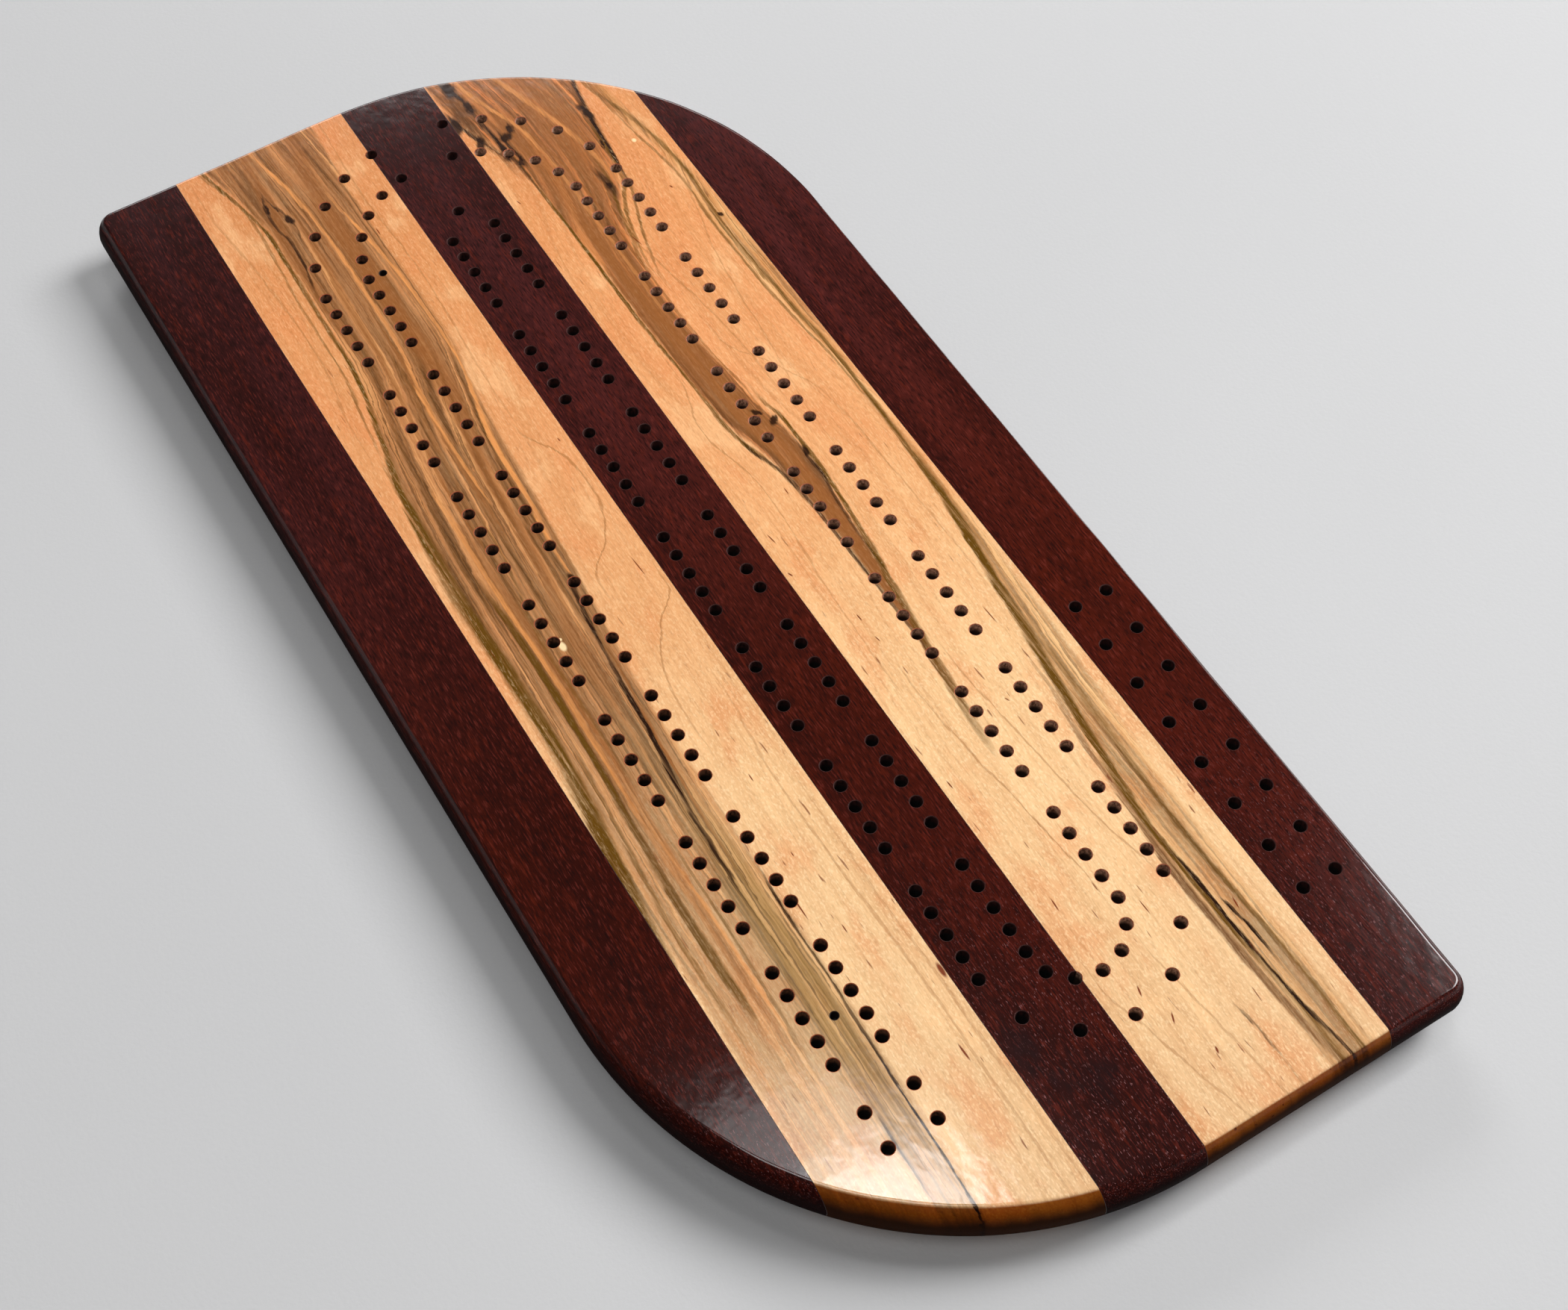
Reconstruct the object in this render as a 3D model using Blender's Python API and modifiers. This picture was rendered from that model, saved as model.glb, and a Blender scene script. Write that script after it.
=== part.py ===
"""Laminated hardwood cribbage board with a peg store in its underside.

Frame: X across the board, Y along it towards the far end, Z up. The origin is the
centre of the footprint, on the surface that the rubber feet stand on. Metres.

Five strips glued edge to edge make the board. Its outline is a rectangle in which two
diagonally opposite corners, far right and near left, are large arcs.
"""

import math

import bmesh
import bpy
from mathutils import Matrix

# Board
LENGTH = 0.375
WIDTH = 0.174
THICKNESS = 0.0159
BIG_CORNER = 0.100
SMALL_CORNER = 0.0055
TOP_ROUND = 0.0030
BOTTOM_ROUND = 0.0095
SOFTEST_CORNER = 0.0010
GAP = 0.0003  # left between pieces that touch
PAST = 0.0020  # how far a cutter runs on past the face it cuts

# Strips, from left to right
STRIPS = (
    ("left_edge_strip", 0.0250, "dark"),
    ("left_track_strip", 0.0506, "light"),
    ("centre_strip", 0.0245, "dark"),
    ("right_track_strip", 0.0502, "light"),
    ("right_edge_strip", 0.0237, "dark"),
)

# Peg holes
PITCH = 0.00635
HOLE_RADIUS = 0.0015875
HOLE_DEPTH = 0.0080
HOLE_SIDES = 8
TRACK_CENTRE_Y = -0.0010
COLUMNS = (-0.04445, -0.03175, -PITCH, PITCH, 0.03175, 0.04445)
GROUPS = 7
GROUP_HOLES = 5
GROUP_PITCHES = 6
FAR_ARC_RADII = (0.04445, 0.03175)
FAR_ARC_DROP = 0.0025
FAR_ARC_STEP = 14.4  # degrees
FAR_ARC_HALF = 5
NEAR_ARC_X = 0.0184
NEAR_ARC_RADII = (0.0250, 0.0127)
NEAR_ARC_STEP = 30.0  # degrees
FINISH_RISE = 0.0091
START_DROPS = (0.0127, 0.0220)
GAMES_COLUMNS = (0.0688, 0.0780)
GAMES_ROWS = 8
GAMES_NEAR_Y = -0.1481
GAMES_PITCH = 0.0127
PIN_RADIUS = 0.0010
PIN_DEPTH = 0.0040
PIN_SPOTS = ((-0.0275, 0.1260), (-0.0381, -0.1185))

# Feet
FOOT_HEIGHT = 0.0030
FOOT_RADIUS = 0.00635
FOOT_TIP_RADIUS = 0.0050
FEET = (
    ("foot_far_left", -0.070, 0.170),
    ("foot_far_right", 0.050, 0.142),
    ("foot_near_left", -0.050, -0.142),
    ("foot_near_right", 0.070, -0.170),
)

# Peg store, cover and pivot screw
STORE_X = 0.00085
STORE_WIDTH = 0.0170
STORE_LENGTH = 0.0840
STORE_DEPTH = 0.0062
STORE_CORNER = 0.0032
COVER_WIDTH = 0.0250
COVER_THICKNESS = 0.0010
COVER_NEAR_Y = -0.0470
COVER_FAR_Y = 0.0560
PIVOT_Y = 0.0490
SCREW_RADIUS = 0.0015
SCREW_LENGTH = 0.0065
SCREW_HEAD_RADIUS = 0.0030
SCREW_HEAD_HEIGHT = 0.0010
SCREW_CLEARANCE = 0.0018

# Pegs
PEG_LENGTH = 0.0300
PEG_HEAD_RADIUS = 0.0023
PEG_SPACING = 0.0050
PEG_ROWS = (0.0255, -0.0055)
PEG_SIDES = 12

BASE_Z = FOOT_HEIGHT
TOP_Z = FOOT_HEIGHT + THICKNESS
COVER_TOP_Z = BASE_Z - GAP
COVER_BASE_Z = COVER_TOP_Z - COVER_THICKNESS

COLOURS = {
    "dark": ((0.075, 0.012, 0.012, 1.0), 0.22, 0.0),
    "light": ((0.62, 0.36, 0.17, 1.0), 0.22, 0.0),
    "rubber": ((0.02, 0.02, 0.02, 1.0), 0.7, 0.0),
    "brass": ((0.72, 0.50, 0.20, 1.0), 0.28, 1.0),
    "steel": ((0.62, 0.62, 0.64, 1.0), 0.25, 1.0),
}


def clear_scene():
    for obj in list(bpy.data.objects):
        bpy.data.objects.remove(obj, do_unlink=True)


def new_collection(name):
    collection = bpy.data.collections.new(name)
    bpy.context.scene.collection.children.link(collection)
    return collection


def material(kind):
    """One Principled material for each kind of stuff, made on first use."""
    made = bpy.data.materials.get(kind)
    if made:
        return made
    colour, roughness, metallic = COLOURS[kind]
    made = bpy.data.materials.new(kind)
    made.use_nodes = True
    shader = made.node_tree.nodes["Principled BSDF"]
    shader.inputs["Base Color"].default_value = colour
    shader.inputs["Roughness"].default_value = roughness
    shader.inputs["Metallic"].default_value = metallic
    return made


def add_object(name, data, collection, kind=None):
    obj = bpy.data.objects.new(name, data)
    collection.objects.link(obj)
    if kind:
        data.materials.append(material(kind))
    return obj


def mesh_from(bm, name):
    mesh = bpy.data.meshes.new(name)
    bmesh.ops.recalc_face_normals(bm, faces=bm.faces)
    bm.to_mesh(mesh)
    bm.free()
    return mesh


def arc(centre_x, centre_y, radius, start, end, steps):
    """Points of an arc, both ends included, with angles in degrees."""
    points = []
    for step in range(steps + 1):
        angle = math.radians(start + (end - start) * step / steps)
        points.append((centre_x + radius * math.cos(angle), centre_y + radius * math.sin(angle)))
    return points


def outline(inset):
    """The board's outline, moved inwards by inset, counter-clockwise from the far right."""
    half_x = WIDTH / 2 - inset
    half_y = LENGTH / 2 - inset
    big = BIG_CORNER - inset
    small = max(SMALL_CORNER - inset, SOFTEST_CORNER)
    corners = (
        (half_x - big, half_y - big, big, 0, 22),
        (-half_x + small, half_y - small, small, 90, 5),
        (-half_x + big, -half_y + big, big, 180, 22),
        (half_x - small, -half_y + small, small, 270, 5),
    )
    points = []
    for centre_x, centre_y, radius, start, steps in corners:
        points += arc(centre_x, centre_y, radius, start, start + 90, steps)
    return points


def edge_profile():
    """(inset, height) pairs up the board's edge: the lower round, the wall, the upper round."""
    lower = arc(BOTTOM_ROUND, BASE_Z + BOTTOM_ROUND, BOTTOM_ROUND, 270, 180, 6)
    upper = arc(TOP_ROUND, TOP_Z - TOP_ROUND, TOP_ROUND, 180, 90, 4)
    return lower + upper


def board_blank(collection):
    """The whole board as one solid: a loft through the outline at each height of its edge."""
    bm = bmesh.new()
    rings = []
    for inset, height in edge_profile():
        rings.append([bm.verts.new((x, y, height)) for x, y in outline(inset)])
    for low, high in zip(rings, rings[1:]):
        for i, vert in enumerate(low):
            j = (i + 1) % len(low)
            bm.faces.new((vert, low[j], high[j], high[i]))
    bm.faces.new(list(reversed(rings[0])))
    bm.faces.new(rings[-1])
    return helper(add_object("board_blank", mesh_from(bm, "board_blank"), collection))


def helper(obj):
    obj.hide_render = True
    obj.display_type = "WIRE"
    return obj


def box_mesh(name, low, high):
    size = [b - a for a, b in zip(low, high)]
    centre = [(a + b) / 2 for a, b in zip(low, high)]
    bm = bmesh.new()
    bmesh.ops.create_cube(bm, size=1.0)
    bmesh.ops.scale(bm, vec=size, verts=bm.verts)
    bmesh.ops.translate(bm, vec=centre, verts=bm.verts)
    return mesh_from(bm, name)


def add_cylinder(bm, x, y, low, high, radius, sides):
    """A closed cylinder along Z, turned so that a flat side faces +X."""
    matrix = Matrix.Translation((x, y, (low + high) / 2)) @ Matrix.Rotation(math.pi / sides, 4, "Z")
    bmesh.ops.create_cone(
        bm,
        cap_ends=True,
        segments=sides,
        radius1=radius,
        radius2=radius,
        depth=high - low,
        matrix=matrix,
    )


def column_ends():
    """The Y of the nearest and the farthest hole of a straight column."""
    half = (GROUPS * GROUP_PITCHES - 2) * PITCH / 2
    return TRACK_CENTRE_Y - half, TRACK_CENTRE_Y + half


def track_holes():
    """Every scoring hole's place: six straight columns, the far arcs and the near arcs."""
    near_y, far_y = column_ends()
    holes = []
    for x in COLUMNS:
        for group in range(GROUPS):
            for place in range(GROUP_HOLES):
                holes.append((x, near_y + (group * GROUP_PITCHES + place) * PITCH))
    for radius in FAR_ARC_RADII:
        for step in range(1, FAR_ARC_HALF + 1):
            for side in (-1, 1):
                angle = math.radians(90 + side * step * FAR_ARC_STEP)
                y = far_y - FAR_ARC_DROP + radius * math.sin(angle)
                holes.append((radius * math.cos(angle), y))
    for radius in NEAR_ARC_RADII:
        for step in range(1, GROUP_HOLES + 1):
            angle = math.radians(180 + step * NEAR_ARC_STEP)
            holes.append((NEAR_ARC_X + radius * math.cos(angle), near_y + radius * math.sin(angle)))
    return holes


def other_holes():
    """The finish hole, the start holes and the two columns that count games won."""
    near_y, far_y = column_ends()
    holes = [(0.0, far_y + FINISH_RISE)]
    for x in COLUMNS[:2]:
        for drop in START_DROPS:
            holes.append((x, near_y - drop))
    for x in GAMES_COLUMNS:
        for row in range(GAMES_ROWS):
            holes.append((x, GAMES_NEAR_Y + row * GAMES_PITCH))
    return holes


def hole_cutter(collection):
    bm = bmesh.new()
    above = TOP_Z + PAST
    for x, y in track_holes() + other_holes():
        add_cylinder(bm, x, y, TOP_Z - HOLE_DEPTH, above, HOLE_RADIUS, HOLE_SIDES)
    for x, y in PIN_SPOTS:
        add_cylinder(bm, x, y, TOP_Z - PIN_DEPTH, above, PIN_RADIUS, HOLE_SIDES)
    return helper(add_object("hole_cutter", mesh_from(bm, "hole_cutter"), collection))


def flat_curve(name, outlines, thickness):
    """A 2D curve filled between its outlines, the first of which is the outer one."""
    curve = bpy.data.curves.new(name, "CURVE")
    curve.dimensions = "2D"
    curve.fill_mode = "BOTH"
    curve.extrude = thickness / 2
    for points in outlines:
        spline = curve.splines.new("POLY")
        spline.points.add(len(points) - 1)
        for point, (x, y) in zip(spline.points, points):
            point.co = (x, y, 0.0, 1.0)
        spline.use_cyclic_u = True
    return curve


def mesh_of_curve(name, curve, centre_z):
    """The curve's solid as a mesh with welded caps, its middle at centre_z."""
    source = bpy.data.objects.new(name + "_curve", curve)
    bpy.context.scene.collection.objects.link(source)
    evaluated = source.evaluated_get(bpy.context.evaluated_depsgraph_get())
    made = bpy.data.meshes.new_from_object(evaluated)
    bm = bmesh.new()
    bm.from_mesh(made)
    bmesh.ops.remove_doubles(bm, verts=bm.verts, dist=0.000001)
    bmesh.ops.translate(bm, vec=(0.0, 0.0, centre_z), verts=bm.verts)
    bpy.data.objects.remove(source, do_unlink=True)
    bpy.data.meshes.remove(made)
    return mesh_from(bm, name)


def rounded_rectangle(centre_x, half_x, half_y, radius, steps):
    points = []
    places = ((1, 1, 0), (-1, 1, 90), (-1, -1, 180), (1, -1, 270))
    for side_x, side_y, start in places:
        x = centre_x + side_x * (half_x - radius)
        y = side_y * (half_y - radius)
        points += arc(x, y, radius, start, start + 90, steps)
    return points


def store_cutter(collection):
    """The routed pocket, running on below the board's base face."""
    points = rounded_rectangle(STORE_X, STORE_WIDTH / 2, STORE_LENGTH / 2, STORE_CORNER, 4)
    curve = flat_curve("store_cutter", [points], STORE_DEPTH + PAST)
    mesh = mesh_of_curve("store_cutter", curve, BASE_Z + (STORE_DEPTH - PAST) / 2)
    return helper(add_object("store_cutter", mesh, collection))


def pilot_cutter(collection):
    bm = bmesh.new()
    high = BASE_Z + SCREW_LENGTH + GAP
    add_cylinder(bm, STORE_X, PIVOT_Y, BASE_Z - PAST, high, SCREW_CLEARANCE, 12)
    return helper(add_object("pilot_cutter", mesh_from(bm, "pilot_cutter"), collection))


def boolean(obj, operation, cutter):
    modifier = obj.modifiers.new(cutter.name, "BOOLEAN")
    modifier.operation = operation
    modifier.solver = "EXACT"
    modifier.object = cutter


def strips(parts, cutters):
    """The blank cut into its strips, each drilled with the holes that fall on it."""
    blank = board_blank(cutters)
    holes = hole_cutter(cutters)
    left = -WIDTH / 2
    for name, width, kind in STRIPS:
        low_x = left - PAST if name == STRIPS[0][0] else left + GAP / 2
        high_x = left + width + PAST if name == STRIPS[-1][0] else left + width - GAP / 2
        low = (low_x, -LENGTH, BASE_Z - PAST)
        high = (high_x, LENGTH, TOP_Z + PAST)
        slab = helper(add_object(name + "_slab", box_mesh(name + "_slab", low, high), cutters))
        strip = add_object(name, blank.data.copy(), parts, kind)
        boolean(strip, "INTERSECT", slab)
        boolean(strip, "DIFFERENCE", holes)
        if name == "centre_strip":
            boolean(strip, "DIFFERENCE", store_cutter(cutters))
            boolean(strip, "DIFFERENCE", pilot_cutter(cutters))
        left += width


def turned(name, profile, sides, parts, kind):
    """A solid of revolution about its own Z: profile is (radius, height), top to bottom."""
    mesh = bpy.data.meshes.new(name)
    points = [(radius, 0.0, height) for radius, height in profile]
    mesh.from_pydata(points, [(i, i + 1) for i in range(len(points) - 1)], [])
    obj = add_object(name, mesh, parts, kind)
    screw = obj.modifiers.new("turn", "SCREW")
    screw.axis = "Z"
    screw.steps = sides
    screw.render_steps = sides
    screw.use_merge_vertices = True
    screw.merge_threshold = 0.00001
    screw.use_smooth_shade = True
    return obj


def foot_profile():
    """A low tapered bumper with a softly rounded tip, stuck on by its wide face."""
    tip = arc(FOOT_TIP_RADIUS - 0.0008, 0.0008, 0.0008, 0, -90, 3)
    top = FOOT_HEIGHT - GAP
    return [(0.0, top), (FOOT_RADIUS, top), (FOOT_RADIUS, top - 0.0006)] + tip + [(0.0, 0.0)]


def feet(parts):
    for name, x, y in FEET:
        foot = turned(name, foot_profile(), 24, parts, "rubber")
        foot.location = (x, y, 0.0)


def store_cover(parts):
    """A flat plate with round ends that turns on the pivot screw, its origin on that axis."""
    half_x = COVER_WIDTH / 2
    far_centre = COVER_FAR_Y - PIVOT_Y - half_x
    near_centre = COVER_NEAR_Y - PIVOT_Y + half_x
    plate = arc(0.0, far_centre, half_x, 0, 180, 14)
    plate += arc(0.0, near_centre, half_x, 180, 360, 14)
    hole = arc(0.0, 0.0, SCREW_CLEARANCE, 0, 330, 11)
    curve = flat_curve("store_cover", [plate, hole], COVER_THICKNESS)
    mesh = mesh_of_curve("store_cover", curve, 0.0)
    cover = add_object("store_cover", mesh, parts, "brass")
    cover.location = (STORE_X, PIVOT_Y, (COVER_TOP_Z + COVER_BASE_Z) / 2)


def cover_screw(parts):
    """A pan-head screw, head down, through the cover and up into the centre strip."""
    head_top = COVER_BASE_Z - GAP
    head_low = head_top - SCREW_HEAD_HEIGHT
    tip = BASE_Z + SCREW_LENGTH
    profile = [(0.0, tip), (0.0007, tip - 0.0002), (SCREW_RADIUS, tip - 0.0022)]
    profile += [(SCREW_RADIUS, head_top), (SCREW_HEAD_RADIUS, head_top)]
    profile += [(SCREW_HEAD_RADIUS, head_low + 0.0004), (SCREW_HEAD_RADIUS - 0.0006, head_low)]
    profile += [(0.0, head_low)]
    screw = turned("cover_screw", profile, 24, parts, "steel")
    screw.location = (STORE_X, PIVOT_Y, 0.0)


def peg_profile():
    """A peg standing on its tip: a tapered shank, a collar, a neck and a rounded head."""
    top = PEG_LENGTH
    return [
        (0.0, top),
        (0.0013, top - 0.0003),
        (PEG_HEAD_RADIUS, top - 0.0016),
        (PEG_HEAD_RADIUS, top - 0.0030),
        (0.0012, top - 0.0046),
        (0.0012, top - 0.0090),
        (0.0020, top - 0.0100),
        (0.0020, top - 0.0112),
        (0.0015, top - 0.0120),
        (0.0013, 0.0010),
        (0.0008, 0.0),
        (0.0, 0.0),
    ]


def pegs(parts):
    """Two sets of three pegs, lying along Y on the cover inside the store."""
    for row, centre_y in enumerate(PEG_ROWS):
        kind = ("brass", "steel")[row]
        for place in range(3):
            peg = turned(f"peg_{kind}_{place + 1}", peg_profile(), PEG_SIDES, parts, kind)
            turn = 1 if place % 2 else -1
            peg.rotation_euler = (math.radians(90 * turn), 0.0, 0.0)
            x = STORE_X + (place - 1) * PEG_SPACING
            peg.location = (x, centre_y + turn * PEG_LENGTH / 2, BASE_Z + PEG_HEAD_RADIUS)


def main():
    clear_scene()
    parts = new_collection("cribbage_board")
    cutters = new_collection("cutters")
    strips(parts, cutters)
    feet(parts)
    store_cover(parts)
    cover_screw(parts)
    pegs(parts)


main()
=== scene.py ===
"""Looks of the cribbage board: fine meshes for its strips, feet, cover, screw and pegs,
with node-built wood, metal and rubber, on a pale studio floor.

Metres, in the CAD part's frame: X across the board, Y along it, Z up. The figure of the
wood is given in millimetres on the playing face.
"""

import math

import bmesh
import bpy
from mathutils import Matrix, Vector, noise


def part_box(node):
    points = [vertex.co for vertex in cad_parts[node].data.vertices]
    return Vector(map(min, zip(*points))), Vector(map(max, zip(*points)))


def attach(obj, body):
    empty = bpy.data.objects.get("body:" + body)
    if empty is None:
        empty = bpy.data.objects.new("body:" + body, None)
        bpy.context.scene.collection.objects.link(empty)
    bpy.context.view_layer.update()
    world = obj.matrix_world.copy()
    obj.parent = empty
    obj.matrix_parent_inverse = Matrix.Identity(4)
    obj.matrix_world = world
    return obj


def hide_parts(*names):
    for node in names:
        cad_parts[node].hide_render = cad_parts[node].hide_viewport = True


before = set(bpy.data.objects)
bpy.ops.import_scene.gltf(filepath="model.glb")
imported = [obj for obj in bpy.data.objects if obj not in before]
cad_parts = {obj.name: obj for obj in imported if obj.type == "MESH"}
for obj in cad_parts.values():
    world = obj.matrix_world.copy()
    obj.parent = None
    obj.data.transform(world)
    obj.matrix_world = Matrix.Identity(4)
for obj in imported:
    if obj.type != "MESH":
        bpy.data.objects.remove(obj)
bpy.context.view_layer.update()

MM = 0.001

# Board, from the frame
# Each strip: its node, the looks of its face and of its holes, and its material slot
STRIPS = (
    ("left_edge_strip", "left_dark", "dark_bore", "dark_wood"),
    ("left_track_strip", "left_maple", "left_bore", "light_wood"),
    ("centre_strip", "centre_dark", "dark_bore", "dark_wood"),
    ("right_track_strip", "right_maple", "right_bore", "light_wood"),
    ("right_edge_strip", "right_dark", "dark_bore", "dark_wood"),
)
BASE_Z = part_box("centre_strip")[0].z
TOP_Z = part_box("centre_strip")[1].z
HALF_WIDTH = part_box("right_edge_strip")[1].x
HALF_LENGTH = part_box("left_edge_strip")[1].y

# Outline and edge
BIG_CORNER = 0.100
SMALL_CORNER = 0.0055
SOFTEST_CORNER = 0.0010
BOTTOM_ROUND = 0.0095
ROUND_DROP = 0.0064  # from the playing face down to the widest part of the edge
ROUND_REACH = 0.0048  # half widths of the ellipse that the upper round is part of
ROUND_RISE = 0.0073
CREASE_SOFT = 0.0006  # how far in the worn crease starts to roll over
CREASE_STEPS = 6
CREASE_WANDER = 0.00035
ARC_EASE = 0.0014  # how much further in the crease runs round the near left arc
ARC_EASE_REACH = 0.105  # from the corner that the arc cuts off, where the ease has died away
FAR_CRISP = 0.0007  # how much further out it runs at the far end and on the right
SEAM = 0.00012  # from wood to wood across a glue line
GLUE_SINK = 0.00003  # how far the glue lies below the wood
BIG_STEPS = 64  # points round a big corner, round a small one, and along the straights
SMALL_STEPS = 9
SHORT_RUN = 17
LONG_RUN = 68
COARSE_WAVE = 28  # the crease's two waves, in waves per metre
FINE_WAVE = 95
CUTTER_PAST = 0.002  # how far a cutter stands past the face it enters

# Holes, as in the CAD part
PITCH = 0.00635
HOLE_RADIUS = 0.0015875
HOLE_DEPTH = 0.0080
HOLE_SIDES = 28
RIM = 0.00016
DRILL_TIP = 0.0003
TRACK_CENTRE_Y = -0.0010
COLUMNS = (-0.04445, -0.03175, -PITCH, PITCH, 0.03175, 0.04445)
GROUPS = 7
GROUP_HOLES = 5
GROUP_PITCHES = 6
FAR_ARC_RADII = (0.04445, 0.03175)
FAR_ARC_DROP = 0.0025
FAR_ARC_STEP = 14.4  # degrees
FAR_ARC_HALF = 5
NEAR_ARC_X = 0.0184
NEAR_ARC_RADII = (0.0250, 0.0127)
NEAR_ARC_STEP = 30.0  # degrees
FINISH_RISE = 0.0091
START_DROPS = (0.0127, 0.0220)
GAMES_COLUMNS = (0.0688, 0.0780)
GAMES_ROWS = 8
GAMES_NEAR_Y = -0.1481
GAMES_PITCH = 0.0127
PIN_RADIUS = 0.0010
PIN_DEPTH = 0.0040
PIN_SPOTS = ((-0.0275, 0.1260), (-0.0381, -0.1185))

# Peg store
STORE_X = 0.00085
STORE_WIDTH = 0.0170
STORE_LENGTH = 0.0840
STORE_DEPTH = 0.0062
STORE_CORNER = 0.0032
PIVOT_Y = 0.0490
PILOT_RADIUS = 0.0018
PILOT_DEPTH = 0.0068

# Places in a strip's list of materials, after its face at 0
BORE_SLOT, STORE_SLOT, PIN_SLOT = 1, 2, 3
SLOT_COUNT = 4

VEIN_FADE = 9.0  # millimetres past a vein's last point
FIGURE_END = 176.0  # millimetres from the middle, past which a vein runs off the board

# The span of the wood's figure, in millimetres, for the curves that draw it
SPAN_X = 180.0
SPAN_Y = 380.0


# ---------------------------------------------------------------- node helpers


class Graph:
    """Short names for making and joining the nodes of one material."""

    def __init__(self, name):
        self.material = bpy.data.materials.new(name)
        self.material.use_nodes = True
        self.tree = self.material.node_tree
        self.shader = self.tree.nodes["Principled BSDF"]

    def node(self, kind, **settings):
        made = self.tree.nodes.new("ShaderNode" + kind)
        for name, value in settings.items():
            setattr(made, name, value)
        return made

    def feed(self, socket, value):
        """Joins an output to the socket, or sets the socket to a plain value."""
        if isinstance(value, bpy.types.NodeSocket):
            self.tree.links.new(value, socket)
        else:
            socket.default_value = value

    def set(self, **values):
        """Sets or joins the shader's own sockets: spaces are written as underscores."""
        for name, value in values.items():
            self.feed(self.shader.inputs[name.replace("_", " ")], value)

    def math(self, operation, a, b=0.0, c=0.0, clamp=False):
        made = self.node("Math", operation=operation, use_clamp=clamp)
        for socket, value in zip(made.inputs, (a, b, c)):
            self.feed(socket, value)
        return made.outputs[0]

    def vector(self, operation, a, b=(0.0, 0.0, 0.0), c=(0.0, 0.0, 0.0)):
        made = self.node("VectorMath", operation=operation)
        for socket, value in zip(made.inputs, (a, b, c)):
            self.feed(socket, value)
        return made.outputs["Value" if operation == "LENGTH" else "Vector"]

    def noise(self, place, scale, detail=2.0, roughness=0.5):
        made = self.node("TexNoise")
        self.feed(made.inputs["Vector"], self.vector("MULTIPLY", place, scale))
        made.inputs["Scale"].default_value = 1.0
        made.inputs["Detail"].default_value = detail
        made.inputs["Roughness"].default_value = roughness
        return made.outputs["Fac"]

    def map(self, value, low, high, to_low=0.0, to_high=1.0, smooth=True):
        made = self.node("MapRange", interpolation_type="SMOOTHSTEP" if smooth else "LINEAR")
        for socket, number in zip(made.inputs, (value, low, high, to_low, to_high)):
            self.feed(socket, number)
        return made.outputs[0]

    def mix(self, factor, a, b, blend="MIX"):
        made = self.node("Mix", data_type="RGBA", blend_type=blend)
        self.feed(made.inputs[0], factor)
        self.feed(made.inputs[6], a)
        self.feed(made.inputs[7], b)
        return made.outputs[2]

    def ramp(self, value, stops):
        made = self.node("ValToRGB")
        self.feed(made.inputs[0], value)
        elements = made.color_ramp.elements
        while len(elements) < len(stops):
            elements.new(1.0)
        for element, (place, colour) in zip(elements, stops):
            element.position = place
            element.color = (*colour, 1.0)
        return made.outputs[0]

    def curves(self, value, lists):
        """Up to three functions of one value, each given by its points, both in 0 to 1."""
        made = self.node("RGBCurve")
        made.mapping.extend = "HORIZONTAL"
        for curve, points in zip(made.mapping.curves, lists):
            for place in points[1:-1]:
                curve.points.new(*place)
            curve.points[0].location = points[0]
            curve.points[-1].location = points[-1]
            for point in curve.points:
                point.handle_type = "AUTO_CLAMPED"
        made.mapping.update()
        self.feed(made.inputs["Color"], value)
        split = self.node("SeparateColor")
        self.feed(split.inputs[0], made.outputs["Color"])
        return split.outputs[0], split.outputs[1], split.outputs[2]

    def bump(self, height, distance, strength=1.0):
        made = self.node("Bump")
        made.inputs["Distance"].default_value = distance
        made.inputs["Strength"].default_value = strength
        self.feed(made.inputs["Height"], height)
        return made.outputs["Normal"]


def share_y(y):
    return y / SPAN_Y + 0.5


def share_x(x):
    return x / SPAN_X + 0.5


def srgb(red, green, blue, gain=1.0):
    """Linear values of a display colour in 0 to 255, times gain."""
    out = []
    for value in (red, green, blue):
        part = value / 255.0
        linear = part / 12.92 if part <= 0.04045 else ((part + 0.055) / 1.055) ** 2.4
        out.append(linear * gain)
    return tuple(out)


def rgba(colour):
    return (*colour, 1.0)


# ---------------------------------------------------------------- wood figure

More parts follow.
